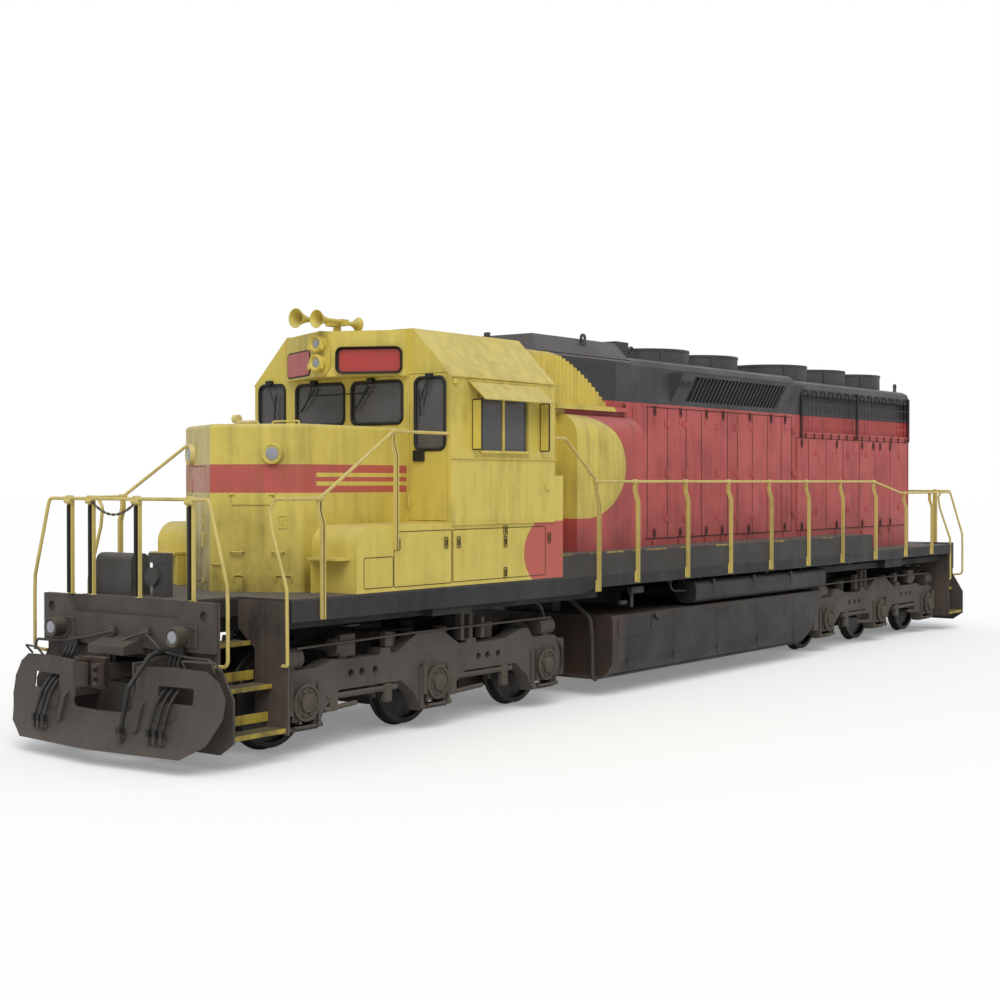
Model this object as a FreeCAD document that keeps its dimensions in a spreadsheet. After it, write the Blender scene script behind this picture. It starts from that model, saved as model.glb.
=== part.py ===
"""Six-axle road-switcher diesel locomotive, full size, in millimetres.

+X is forward (the cab end), +Y the locomotive's left, +Z up.  The origin is on the floor that the
wheel flanges stand on, midway between the couplers and between the sides.
"""
import FreeCAD, Part
import Sketcher
import math
import os
import re
from types import SimpleNamespace

from FreeCAD import Placement, Rotation, Vector

# --------------------------------------------------------------------------- driving sizes
# name, size, what it is
SIZES = (
    ("pull_face", 10015, "coupler pulling face, from the middle of the locomotive"),
    ("end_x", 9400, "outer face of an end plate"),
    ("end_plate", 25, "thickness of an end plate"),
    ("end_half", 1290, "half width of an end plate at the deck"),
    ("pilot_half", 1490, "half width of an end plate at the bottom step"),
    ("pilot_bottom", 165, "bottom edge of an end plate"),
    ("half_width", 1530, "half width over the side sills and the cab"),
    ("deck_top", 1615, "top of the low walkway"),
    ("deck_plate", 25, "thickness of the deck plate"),
    ("step_x", 8657, "inner panel of a step well"),
    ("platform_half", 800, "half width of an end platform between its step wells"),
    ("sill_plate", 30, "thickness of a side sill"),
    ("sill_bottom", 1445, "bottom of a side sill"),
    ("sill_deep", 1385, "bottom of a side sill under the cab"),
    ("centre_half", 400, "half width of the centre sill"),
    ("centre_bottom", 1220, "bottom of the centre sill"),
    ("raised_top", 1885, "top of the raised walkway"),
    ("raised_rear", 5163, "rear end of the raised walkway, behind the middle"),
    # wheels and axles
    ("wheel_radius", 508, "wheel at the tread"),
    ("flange", 25, "height of a wheel flange"),
    ("wheel_back", 677, "back face of a wheel, from the centre line"),
    ("rim_width", 140, "width of a wheel rim"),
    ("rim_depth", 65, "thickness of a wheel rim under the tread"),
    ("plate_width", 30, "thickness of a wheel plate"),
    ("hub_radius", 150, "wheel hub"),
    ("axle_radius", 95, "axle between the wheels"),
    ("journal_radius", 70, "axle end in its journal box"),
    ("axle_half", 1180, "half length of an axle"),
    ("axle_pitch", 2110, "distance from one axle to the next"),
    # trucks
    ("bolster_x", 6096, "truck pivot, from the middle of the locomotive"),
    ("frame_in", 1050, "inner face of a truck side frame"),
    ("frame_out", 1230, "outer face of a truck side frame"),
    ("frame_low", 600, "lower edge of a side frame between its axles"),
    ("frame_high", 910, "upper edge of a side frame between its axles"),
    ("frame_peak", 1090, "top of a side frame over its middle axle"),
    ("bowl_radius", 300, "centre plate bowl of a truck"),
    ("bolster_top", "=2 * wheel_radius + 2 * flange + 12", "top of a truck bolster, over the wheel flanges"),
    ("bowl_top", "=bolster_top + 60", "rim of the centre plate bowl"),
    ("running_gap", 6, "clearance round an axle"),
    ("seat_gap", 0.3, "clearance of a pin or bearing in its seat"),
    # cab and nose
    ("cab_front", 6167, "front face of the cab"),
    ("cab_rear", 4157, "rear face of the cab"),
    ("belt", 2315, "top of the equipment boxes and foot of the cab walls"),
    ("cab_floor", "=belt + 20", "top of the cab floor"),
    ("cab_eave", 3950, "foot of the cab roof's slope"),
    ("cab_top", 4499, "top of the cab roof"),
    ("roof_half", 987, "half width of the flat of the cab roof"),
    ("wall", 40, "thickness of a cab wall or door"),
    ("roof_wall", 30, "thickness of the cab roof"),
    ("door_gap", 6, "gap round a door"),
    ("nose_tip", 8317, "crease of the nose front"),
    ("nose_corner", 7867, "side corners of the nose front"),
    ("nose_half", 890, "half width of the nose"),
    ("nose_top", 3381, "top of the nose"),
    ("nose_wall", 16, "thickness of the nose sheets"),
    ("box_front", 7707, "front of the equipment boxes"),
    ("box_rear", 3987, "rear of the left equipment box"),
    # hoods
    ("hood_half", 944, "half width of the long hood"),
    ("hood_wall", 25, "thickness of the hood sheets"),
    ("blower_rear", 1497, "rear end of the blower section"),
    ("engine_rear", 3413, "rear end of the engine section, behind the middle"),
    ("hood_rear", 8084, "rear end of the long hood, behind the middle"),
    ("hood_eave", 3880, "top of the engine hood doors"),
    ("blower_top", 4430, "roof of the blower section"),
    ("hatch_top", 4665, "top of the roof hatch"),
    ("brake_top", 4470, "roof of the dynamic brake housing"),
    ("radiator_top", 4420, "roof of the radiator section"),
    ("fan_rise", 230, "height of the fan shrouds over the dynamic brake's roof"),
    ("fan_top", "=brake_top + fan_rise", "top of the fan shrouds"),
    ("fan_radius", 680, "outside of a fan shroud"),
    ("fan_pitch", 1500, "distance from one fan to the next"),
    # under the deck
    ("tank_front", 2827, "front of the fuel tank"),
    ("tank_rear", 2723, "rear of the fuel tank's bottom, behind the middle"),
    ("tank_half", 1500, "half width of the fuel tank"),
    ("tank_top", 1050, "top of the fuel tank"),
    ("tank_bottom", 215, "bottom of the fuel tank"),
    ("coupler_z", 905, "centre line of the couplers"),
    ("coupler_pin", 9165, "draft gear pin, from the middle"),
    # handrails
    ("rail_tube", 18, "radius of a handrail"),
    ("rail_y", 1500, "centre of the side handrails"),
    ("rail_raised", 2775, "side handrail over the raised walkway"),
    ("rail_low", 2600, "handrail over the low platforms"),
)

doc = FreeCAD.newDocument("Locomotive")
sheet = doc.addObject("Spreadsheet::Sheet", "Dims")
for row, (name, size, meaning) in enumerate(SIZES, 1):
    sheet.set(f"A{row}", name)
    sheet.set(f"B{row}", str(size))
    sheet.set(f"C{row}", meaning)
    sheet.setAlias(f"B{row}", name)
doc.recompute()
d = SimpleNamespace(**{name: float(sheet.get(name)) for name, size, meaning in SIZES})
axle_z = d.wheel_radius + d.flange

SIZE_NAME = re.compile(r"\b(" + "|".join(name for name, size, meaning in SIZES) + r")\b")
NODES = []


# --------------------------------------------------------------------------- modelling helpers
def bound(text):
    """An expression over the sheet, from one written with the sizes' names."""
    return SIZE_NAME.sub(r"Dims.\1", str(text))


def box(name, x, y, z):
    """A box between pairs of expressions."""
    solid = doc.addObject("Part::Box", name)
    for side, letter, (low, high) in (("Length", "x", x), ("Width", "y", y), ("Height", "z", z)):
        solid.setExpression(side, f"({bound(high)}) - ({bound(low)})")
        solid.setExpression(f"Placement.Base.{letter}", bound(low))
    return solid


TURNS = {
    "x": Rotation(Vector(0, 1, 0), 90),
    "y": Rotation(Vector(1, 0, 0), -90),
    "z": Rotation(),
}


def cylinder(name, radius, start, axis, length):
    """A cylinder from its start point along a row axis."""
    solid = doc.addObject("Part::Cylinder", name)
    solid.Placement = Placement(Vector(), TURNS[axis])
    solid.setExpression("Radius", bound(radius))
    solid.setExpression("Height", bound(length))
    for letter, place in zip("xyz", start):
        solid.setExpression(f"Placement.Base.{letter}", bound(place))
    return solid


# plane of an outline, its turn, and the axis that it is extruded along
PLANES = {
    "XY": (Rotation(), "z", 1),
    "YZ": (Rotation(Vector(1, 1, 1), 120), "x", 1),
    "XZ": (Rotation(Vector(1, 0, 0), 90), "y", -1),
}


def drawn(name, corners):
    """A sketch of a closed outline whose corners are bound to the sheet."""
    outline = doc.addObject("Sketcher::SketchObject", name + "_outline")
    points = [Vector(*(float(sheet.evalExpression(bound(place))) for place in corner), 0)
              for corner in corners]
    for here, there in zip(points, points[1:] + points[:1]):
        outline.addGeometry(Part.LineSegment(here, there), False)
    for edge in range(len(corners)):
        before = (edge - 1) % len(corners)
        outline.addConstraint(Sketcher.Constraint("Coincident", before, 2, edge, 1))
    for edge, (corner, point) in enumerate(zip(corners, points)):
        for direction, place, size in zip(("DistanceX", "DistanceY"), corner, point):
            index = outline.addConstraint(Sketcher.Constraint(direction, -1, 1, edge, 1, size))
            outline.setExpression(f"Constraints[{index}]", bound(place))
    return outline


def prism(name, plane, corners, low, high):
    """An outline of bound corners in a sketch, extruded between two places."""
    turn, letter, way = PLANES[plane]
    outline = drawn(name, corners)
    outline.Placement = Placement(Vector(), turn)
    outline.setExpression(f"Placement.Base.{letter}", bound(low if way > 0 else high))
    solid = doc.addObject("Part::Extrusion", name)
    solid.Base = outline
    solid.DirMode = "Normal"
    solid.Solid = True
    solid.setExpression("LengthFwd", f"({bound(high)}) - ({bound(low)})")
    return solid


def group(kind, name, pieces):
    """A boolean or compound of several pieces."""
    solid = doc.addObject(kind, name)
    if kind == "Part::Compound":
        solid.Links = pieces
    else:
        solid.Shapes = pieces
    return solid


def fuse(name, pieces):
    return group("Part::MultiFuse", name, pieces) if len(pieces) > 1 else pieces[0]


def cut(name, base, tools):
    """A base with its tools taken out."""
    solid = doc.addObject("Part::Cut", name)
    solid.Base = base
    solid.Tool = fuse(name + "_tools", tools)
    return solid


def mirrored(name, source, axis):
    """A copy on the other side of the middle, along X or Y."""
    solid = doc.addObject("Part::Mirroring", name)
    solid.Source = source
    solid.Base = Vector()
    solid.Normal = Vector(1, 0, 0) if axis == "x" else Vector(0, 1, 0)
    return solid


def both(name, source, axis):
    """A piece and its mirror copy, as separate solids of one node."""
    return group("Part::Compound", name, [source, mirrored(name + "_mirror", source, axis)])


def rounded(name, base, radius, chosen):
    """A base with the edges that the test picks rounded."""
    doc.recompute()
    solid = doc.addObject("Part::Fillet", name)
    solid.Base = base
    solid.Edges = [(index, radius, radius) for index, edge in enumerate(base.Shape.Edges, 1) if chosen(edge)]
    return solid


def along(edge, axis):
    """Whether a straight edge runs along a row axis."""
    if not isinstance(edge.Curve, Part.Line):
        return False
    return abs(getattr(edge.Curve.Direction, axis)) > 0.999


def opening(name, x, y, z, axis, radius):
    """A cutter for a window: a box with its corners rounded along one axis."""
    return rounded(name, box(name + "_block", x, y, z), radius, lambda edge: along(edge, axis))


def built(name, shape, place=None):
    """A piece whose shape is worked out in code from the sheet's sizes."""
    solid = doc.addObject("Part::Feature", name)
    solid.Shape = shape
    solid.Placement = place or Placement()
    return solid


def block(x, y, z):
    """A plain box shape between pairs of places."""
    return Part.makeBox(x[1] - x[0], y[1] - y[0], z[1] - z[0], Vector(x[0], y[0], z[0]))


def rod(radius, start, end):
    """A round bar shape from one point to another."""
    start, end = Vector(*start), Vector(*end)
    return Part.makeCylinder(radius, (end - start).Length, start, end - start)


def slab(corners, axis, low, high):
    """A flat outline shape, extruded along a row axis; corners give the other two places in order."""
    place = {"x": lambda a, b: Vector(low, a, b), "y": lambda a, b: Vector(a, low, b),
             "z": lambda a, b: Vector(a, b, low)}[axis]
    points = [place(*corner) for corner in corners]
    face = Part.Face(Part.makePolygon(points + points[:1]))
    push = Vector(*(high - low if letter == axis else 0 for letter in "xyz"))
    return face.extrude(push)


def tube(radius, points, bend):
    """A round bar along a route of straight runs with bends of one radius."""
    route = [Vector(*point) for point in points]
    edges = []
    start = route[0]
    for before, corner, after in zip(route, route[1:], route[2:]):
        way_in = (corner - before).normalize()
        way_out = (after - corner).normalize()
        turn = way_in.getAngle(way_out)
        shorter = min((corner - before).Length, (after - corner).Length)
        reach = min(bend * math.tan(turn / 2), 0.48 * shorter)
        middle = (way_out - way_in).normalize() * (reach / math.tan(turn / 2)) / math.cos(turn / 2)
        radius_here = reach / math.tan(turn / 2)
        arc_start = corner - way_in * reach
        arc_end = corner + way_out * reach
        centre = corner + middle
        arc_middle = centre + (corner - centre).normalize() * radius_here
        edges.append(Part.LineSegment(start, arc_start).toShape())
        edges.append(Part.Arc(arc_start, arc_middle, arc_end).toShape())
        start = arc_end
    edges.append(Part.LineSegment(start, route[-1]).toShape())
    path = Part.Wire(edges)
    ring = Part.Wire(Part.makeCircle(radius, route[0], route[1] - route[0]))
    return path.makePipeShell([ring], True, False)


def mirror_shape(shape, axis):
    return shape.mirror(Vector(), Vector(1, 0, 0) if axis == "x" else Vector(0, 1, 0))


def joined(shapes):
    """One solid from shapes that touch."""
    whole = shapes[0].multiFuse(shapes[1:])
    return whole.removeSplitter()


def node(label, solid):
    """Name a finished piece as one of the locomotive's nodes."""
    solid.Label = label
    NODES.append(solid)


# --------------------------------------------------------------------------- underframe
# Centre sill with its centre plates, the body bolsters and cross members each side of it, and the
# two side sills, deeper under the cab than behind it.
SILL_STEP = 3540
SILL_SLOPE = 3250
BOLSTER_HALF = 350
CROSS_MEMBERS = (-4300, -1400, 1400, 4300)

CROSS_DEPTH = 170
centre_beam = box("centre_beam", ("-end_x + end_plate", "end_x - end_plate"), ("-centre_half", "centre_half"),
                  ("centre_bottom", "deck_top - deck_plate"))
cross_parts = []
centre_plates = []
for place in CROSS_MEMBERS:
    half = box(f"cross_member_{len(cross_parts)}", (place - 60, place + 60),
               ("centre_half", "half_width - sill_plate"),
               (f"deck_top - deck_plate - {CROSS_DEPTH}", "deck_top - deck_plate"))
    cross_parts += [half, mirrored(f"cross_member_right_{len(cross_parts)}", half, "y")]
for end, way in (("front", ""), ("rear", "-")):
    bolster = box(f"bolster_{end}", (f"{way}bolster_x - {BOLSTER_HALF}", f"{way}bolster_x + {BOLSTER_HALF}"),
                  ("centre_half", "half_width - sill_plate"), ("centre_bottom + 80", "deck_top - deck_plate"))
    cross_parts += [bolster, mirrored(f"bolster_right_{end}", bolster, "y")]
    centre_plates.append(cylinder(f"centre_plate_{end}", "bowl_radius - 25",
                                  (f"{way}bolster_x", 0, "bolster_top + seat_gap"), "z",
                                  "centre_bottom - bolster_top - seat_gap"))
    near, far = ("step_x", "end_x - end_plate") if end == "front" else ("-end_x + end_plate", "-step_x")
    wing = box(f"platform_{end}", (near, far), ("centre_half", "platform_half"),
               (f"deck_top - deck_plate - {CROSS_DEPTH}", "deck_top - deck_plate"))
    cross_parts += [wing, mirrored(f"platform_right_{end}", wing, "y")]
node("centre_sill", centre_beam)
node("centre_plates", group("Part::Compound", "centre_plates_all", centre_plates))
node("cross_members", group("Part::Compound", "cross_members_all", cross_parts))
sill_corners = (
    ("-step_x", "deck_top - deck_plate"), ("-step_x", "sill_bottom"), (SILL_SLOPE, "sill_bottom"),
    (SILL_STEP, "sill_deep"), ("step_x", "sill_deep"), ("step_x", "deck_top - deck_plate"),
)
sill_left = prism("sill_left", "XZ", sill_corners, "half_width - sill_plate", "half_width")
node("side_sills", both("side_sills_all", sill_left, "y"))

# Draft gear: a box under each end of the centre sill, open to the front, with the coupler's pin and
# the seat that the coupler's tail rests on.
draft_box = cut("draft_open", box("draft_box", ("coupler_pin - 260", "end_x - end_plate"), (-310, 310),
                                  ("coupler_z - 150", "centre_bottom")),
                [box("draft_pocket", ("coupler_pin - 140", "end_x - end_plate + 1"), (-240, 240),
                     ("coupler_z - 110", "coupler_z + 110"))])
draft_pin = cylinder("draft_pin", 38, ("coupler_pin", 0, "coupler_z - 150"), "z", 300)
draft_seat = cylinder("draft_seat", 90, ("coupler_pin", 0, "coupler_z - 112"), "z", "37 - seat_gap")
draft_front = fuse("draft_front", [draft_box, draft_pin, draft_seat])
node("draft_gear", both("draft_gear_all", draft_front, "x"))

# Walkways: the low deck plate from end to end, and the raised boxes beside the long hood.
deck = prism("deck", "XY", (
    ("-end_x + end_plate", "-platform_half"), ("-step_x", "-platform_half"), ("-step_x", "-half_width"),
    ("step_x", "-half_width"), ("step_x", "-platform_half"), ("end_x - end_plate", "-platform_half"),
    ("end_x - end_plate", "platform_half"), ("step_x", "platform_half"), ("step_x", "half_width"),
    ("-step_x", "half_width"), ("-step_x", "platform_half"), ("-end_x + end_plate", "platform_half"),
), "deck_top - deck_plate", "deck_top")
raised_left = box("raised_left", ("-raised_rear", "box_rear"), ("hood_half", "half_width"),
                  ("deck_top", "raised_top"))
raised_right = box("raised_right", ("-raised_rear", "cab_rear"), ("-half_width", "-hood_half"),
                   ("deck_top", "raised_top"))
node("walkways", fuse("walkways_all", [deck, raised_left, raised_right]))

# End plates: a wide plate with a thick band and corner gussets on its face, the casting over the
# coupler, and the brackets that carry the low lamps.
FACE = 60
BAND = (1130, 1440)
plate = prism("end_sheet", "YZ", (
    ("end_half", "deck_top"), ("-end_half", "deck_top"), ("-end_half", 1030), ("-pilot_half", 700),
    ("-pilot_half", 290), (-1300, "pilot_bottom"), (1300, "pilot_bottom"), ("pilot_half", 290),
    ("pilot_half", 700), ("end_half", 1030),
), "end_x - end_plate", "end_x")
band = box("end_band", ("end_x", f"end_x + {FACE}"), ("-end_half + 10", "end_half - 10"), BAND)
gussets = [prism(f"end_gusset_{side}", "YZ", (
    (f"{way}800", BAND[1]), (f"{way}(end_half - 10)", BAND[1]), (f"{way}(end_half - 10)", "deck_top"),
    (f"{way}900", "deck_top"),
), "end_x", f"end_x + {FACE}") for side, way in (("left", ""), ("right", "-"))]
striker = prism("striker", "XZ", (
    ("end_x", "coupler_z + 170"), (f"end_x + {FACE + 240}", "coupler_z + 170"),
    (f"end_x + {FACE + 240}", "coupler_z + 250"), (f"end_x + {FACE}", "coupler_z + 320"),
    ("end_x", "coupler_z + 320"),
), -270, 270)
lamp_arms = [box(f"lamp_arm_{side}", (f"end_x + {FACE}", f"end_x + {FACE + 60}"), y, (1190, 1360))
             for side, y in (("left", (830, 1010)), ("right", (-1010, -830)))]
mouth = box("coupler_mouth", ("end_x - end_plate - 5", "end_x + 5"), (-300, 300),
            ("coupler_z - 150", "coupler_z + 150"))
eyes = [cylinder(f"end_eye_{side}", 55, (f"end_x + {FACE - 35}", y, 1480), "x", 50)
        for side, y in (("left", 1150), ("right", -1150))]
end_body = fuse("end_body", [plate, band, striker] + gussets + lamp_arms)
front_plate = cut("front_plate", end_body, [mouth] + eyes)
node("end_plates", both("end_plates_all", front_plate, "x"))

# Steps: at each corner an inner panel and three treads, the lowest furthest out.
# tread: inner edge, outer edge, top
TREADS = ((750, 980, 1180), (1020, 1280, 770), (1220, 1470, 345))
TREAD_DEPTH = 45
panel = prism("step_panel", "YZ", (
    ("platform_half", "deck_top - deck_plate"), ("half_width - 30", "deck_top - deck_plate"),
    ("half_width - 30", 280), (1035, 280), (1035, 1110), ("platform_half", 1300),
), "step_x", "step_x + 20")
treads = [box(f"tread_{number}", ("step_x + 20", "end_x - end_plate"), (inner, outer),
              (top - TREAD_DEPTH, top))
          for number, (inner, outer, top) in enumerate(TREADS)]
well = fuse("step_well", [panel] + treads)
front_wells = both("front_wells", well, "y")
node("steps", both("steps_all", front_wells, "x"))

# --------------------------------------------------------------------------- snow plow
# Two curved mouldboards that meet at the middle, with a gap for the coupler and a window for the
# hoses in each, on two brackets behind.
PLOW_TIP = 9950
PLOW_SWEEP = 0.10
PLOW_LEAN = 200
PLOW_PLATE = 16
PLOW_TOP = 1000
PLOW_BOTTOM = 165
PLOW_BELLY = 70
PLOW_WINDOW_Y = (750, 1200)
PLOW_WINDOW_Z = (655, 815)


def mouldboard():
    """The plow's left half: a leaning curved plate trimmed to its front outline."""
    low = Vector(PLOW_TIP, 0, PLOW_BOTTOM)
    high = Vector(PLOW_TIP - PLOW_LEAN, 0, PLOW_TOP)
    middle = (low + high) / 2 - Vector(PLOW_BELLY, 0, 0)
    back = Vector(-PLOW_PLATE, 0, 0)
    section = Part.Wire([
        Part.Arc(low, middle, high).toShape(), Part.makeLine(high, high + back),
        Part.Arc(high + back, middle + back, low + back).toShape(), Part.makeLine(low + back, low),
    ])
    plate = Part.Face(section).extrude(Vector(-PLOW_SWEEP * 1620, 1620, 0))
    outline = slab(((0, 165), (1200, 165), (1450, 300), (1580, 560), (1580, 740), (1480, 900), (1340, 985),
                    (950, 1000), (470, 985), (440, 560), (380, 530), (0, 530)), "x", 9300, 10015)
    window = block((9300, 10015), PLOW_WINDOW_Y, PLOW_WINDOW_Z)
    return plate.common(outline).cut(window)


wing = mouldboard()
brackets = [block((d.end_x, 9770), (560, 600), (420, 800)).cut(
    slab(((9740, 415), (9800, 415), (9800, 805), (9500, 805)), "y", 555, 605))]
bracket = slab(((d.end_x, 380), (9830, 380), (9760, 620), (9400, 900)), "y", 560, 600)
half_plow = joined([wing, bracket])
plow = built("plow_shape", joined([half_plow, mirror_shape(half_plow, "y")]))
node("snow_plow", plow)

# --------------------------------------------------------------------------- nose and cab
# Nose: a sheet shell with a creased front, a doorway in its right front sheet, and the door.
NOSE_ROUND = 90
NOSE_DOOR = (160, 680)
NOSE_DOOR_Z = (1700, 2940)


def nose_plan(inset):
    """The nose's plan, as corners from the cab round its front, set in by the sheet's thickness."""
    return ((d.cab_front, -d.nose_half + inset), (d.nose_corner - 0.4 * inset, -d.nose_half + inset),
            (d.nose_tip - 1.1 * inset, 0), (d.nose_corner - 0.4 * inset, d.nose_half - inset),
            (d.cab_front, d.nose_half - inset))


BARREL = 9.7
BARREL_HALF = 40


def hinge_barrels(axis, leaf_strap, post_strap, heights):
    """Barrels of upright hinges about a plan point, each on its strap; leaf barrels, then post ones.

    A strap is its far place along X and its two places across, and the barrel's end is the axis.
    """
    leaf_parts, post_parts = [], []
    for height in heights:
        for parts_list, strap, spans in (
            (leaf_parts, leaf_strap, ((-BARREL_HALF, BARREL_HALF),)),
            (post_parts, post_strap, ((-2 * BARREL_HALF, -BARREL_HALF - d.seat_gap),
                                         (BARREL_HALF + d.seat_gap, 2 * BARREL_HALF))),
        ):
            far, low, high = strap
            for start, stop in spans:
                barrel = Part.makeCylinder(BARREL, stop - start, Vector(axis[0], axis[1], height + start))
                plate = block(sorted((far, axis[0])), (low, high), (height + start, height + stop))
                parts_list.append(barrel.fuse(plate))
    return leaf_parts, post_parts


def upright(edge):
    return along(edge, "z") and edge.BoundBox.XMin > d.cab_front + 50


def nose_shape():
    outer = slab(nose_plan(0), "z", d.deck_top, d.nose_top)
    corners = [edge for edge in outer.Edges if upright(edge) and abs(edge.BoundBox.YMin) > 100]
    outer = outer.makeFillet(NOSE_ROUND, corners)
    outer = outer.makeFillet(45, [edge for edge in outer.Edges if edge.BoundBox.ZMin > d.nose_top - 1
                                  and edge.BoundBox.XMax > d.cab_front + 1])
    inner = slab(nose_plan(d.nose_wall), "z", d.deck_top, d.nose_top - d.nose_wall)
    inner = inner.makeFillet(NOSE_ROUND - d.nose_wall, [edge for edge in inner.Edges
                                                        if upright(edge) and abs(edge.BoundBox.YMin) > 100])
    inner = inner.cut(block((d.nose_tip - 700, d.nose_tip), (-20, 20), (d.nose_top - 120, d.nose_top)))
    return outer.cut(inner)


facet = Vector(d.nose_corner - d.nose_tip, -d.nose_half, 0)
facet_length = facet.Length
facet_way = facet.normalize()
facet_turn = Rotation(Vector(1, 0, 0), facet_way)
facet_place = Placement(Vector(d.nose_tip, 0, 0), facet_turn)
# In the facet's own frame X runs from the crease to the right corner and Y points out of the nose.
doorway = block(NOSE_DOOR, (-40, 40), NOSE_DOOR_Z)
doorway.Placement = facet_place
nose = nose_shape().cut(doorway)
leaf = block((NOSE_DOOR[0] + d.door_gap, NOSE_DOOR[1] - d.door_gap), (-12, 6),
             (NOSE_DOOR_Z[0] + d.door_gap, NOSE_DOOR_Z[1] - d.door_gap))
leaf_barrels, post_barrels = hinge_barrels((NOSE_DOOR[1], 6 + BARREL + d.seat_gap), (NOSE_DOOR[1] - 60, 6, 10),
                                           (NOSE_DOOR[1] + 40, 0, 10), (1900, 2720))
node("nose_door", built("nose_door_shape", joined([leaf] + leaf_barrels), facet_place))
post_barrels = Part.makeCompound(post_barrels)
post_barrels.Placement = facet_place
node("nose_hood", built("nose_shape", joined([nose] + post_barrels.Solids)))

# Equipment boxes: one each side of the nose and under the cab, with a cabinet behind the left one,
# a step on the front of each, and a step behind the right one below the rear cab door.
BOX_ROUND = 230
box_left = rounded("box_left", box("box_left_block", ("cab_rear", "box_front"), ("nose_half", "half_width"),
                                   ("deck_top", "belt")), BOX_ROUND,
                   lambda edge: along(edge, "y") and edge.BoundBox.XMin > d.box_front - 1
                   and edge.BoundBox.ZMin > d.belt - 1)
cabinet = box("rear_cabinet", ("box_rear", "cab_rear"), ("hood_half", "half_width"), ("deck_top", 2845))
front_step = box("box_step", ("box_front", "box_front + 200"), (1020, 1440), (1960, 1985))
step_leg = box("box_step_leg", ("box_front", "box_front + 160"), (1030, 1050), ("deck_top", 1960))
boxes_left = fuse("boxes_left", [box_left, cabinet, front_step, step_leg])
box_right = rounded("box_right", box("box_right_block", ("cab_rear", "box_front"),
                                     ("-half_width", "-nose_half"),
                                     ("deck_top", "belt")), BOX_ROUND,
                    lambda edge: along(edge, "y") and edge.BoundBox.XMin > d.box_front - 1
                    and edge.BoundBox.ZMin > d.belt - 1)
rear_step = box("cab_step", ("cab_rear - 260", "cab_rear"), (-1500, -1000), ("raised_top", 2110))
right_step = box("box_step_right", ("box_front", "box_front + 200"), (-1440, -1020), (1960, 1985))
right_leg = box("box_leg_right", ("box_front", "box_front + 160"), (-1050, -1030), ("deck_top", 1960))
boxes_right = fuse("boxes_right", [box_right, rear_step, right_step, right_leg])
node("equipment_boxes", group("Part::Compound", "equipment_boxes_all", [boxes_left, boxes_right]))

floor_base = box("floor_base", ("cab_rear", "cab_front"), ("-nose_half", "nose_half"), ("deck_top", "belt"))
floor_slab = box("floor_slab", ("cab_rear + wall", "cab_front - wall"),
                 ("-half_width + wall", "half_width - wall"),
                 ("belt", "cab_floor"))
node("cab_floor", fuse("cab_floor_all", [floor_base, floor_slab]))

# Cab walls: the roof is a bent sheet over the end walls, and the side walls stand between them.
END_WALL = (
    ("half_width", "belt"), ("half_width", "cab_eave"), ("roof_half", "cab_top - roof_wall"),
    ("-roof_half", "cab_top - roof_wall"), ("-half_width", "cab_eave"), ("-half_width", "belt"),
)
WINDOW_ROUND = 70
DOOR_Z = ("cab_floor", "cab_eave + 35")
DOOR_Y = (930, 1480)
REAR_DOOR_Y = (-1485, -975)
SCREEN_Y = (70, 820)
SCREEN_Z = (3445, 3905)
TALL_Y = (1030, 1440)
TALL_Z = ("cab_floor + 805", f"{DOOR_Z[1]} - 60")
SIDE_X = (4727, 5637)
SIDE_Z = (3125, 3735)

front_wall = prism("front_wall", "YZ", END_WALL, "cab_front - wall", "cab_front")
front_x = ("cab_front - wall - 5", "cab_front + 5")
front_cuts = [
    opening("screen_left", front_x, SCREEN_Y, SCREEN_Z, "x", WINDOW_ROUND),
    opening("screen_right", front_x, (-SCREEN_Y[1], -SCREEN_Y[0]), SCREEN_Z, "x", WINDOW_ROUND),
    opening("tall_right", front_x, (-TALL_Y[1], -TALL_Y[0]), TALL_Z, "x", WINDOW_ROUND),
    box("front_doorway", front_x, DOOR_Y, DOOR_Z),
]
front_cut_wall = cut("front_cut_wall", front_wall, front_cuts)

rear_wall = prism("rear_wall", "YZ", END_WALL, "cab_rear", "cab_rear + wall")
rear_x = ("cab_rear - 5", "cab_rear + wall + 5")
rear_cuts = [
    box("rear_doorway", rear_x, REAR_DOOR_Y, DOOR_Z),
    opening("rear_window", rear_x, (1030, 1440), (3200, 3850), "x", WINDOW_ROUND),
]
rear_cut_wall = cut("rear_cut_wall", rear_wall, rear_cuts)

side_wall = cut("side_wall", box("side_sheet", ("cab_rear + wall", "cab_front - wall"),
                                 ("half_width - wall", "half_width"), ("belt", "cab_eave - 30")),
                [box("side_window", SIDE_X, ("half_width - wall - 5", "half_width + 5"), SIDE_Z)])
post = box("side_post", (5160, 5205), ("half_width - wall", "half_width - 5"), SIDE_Z)
shade = prism("sunshade", "YZ", (
    ("half_width", 3905), ("half_width + 245", 3688), ("half_width + 253", 3697), ("half_width", 3920),
), 4537, 5857)
deflectors = [box(f"deflector_{x[0]}", x, ("half_width", "half_width + 140"), (3140, 3690))
              for x in ((5775, 5787), (4465, 4477))]
side_set = fuse("side_set", [side_wall, post, shade] + deflectors)
node("cab_sides", both("cab_sides_all", side_set, "y"))

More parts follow.
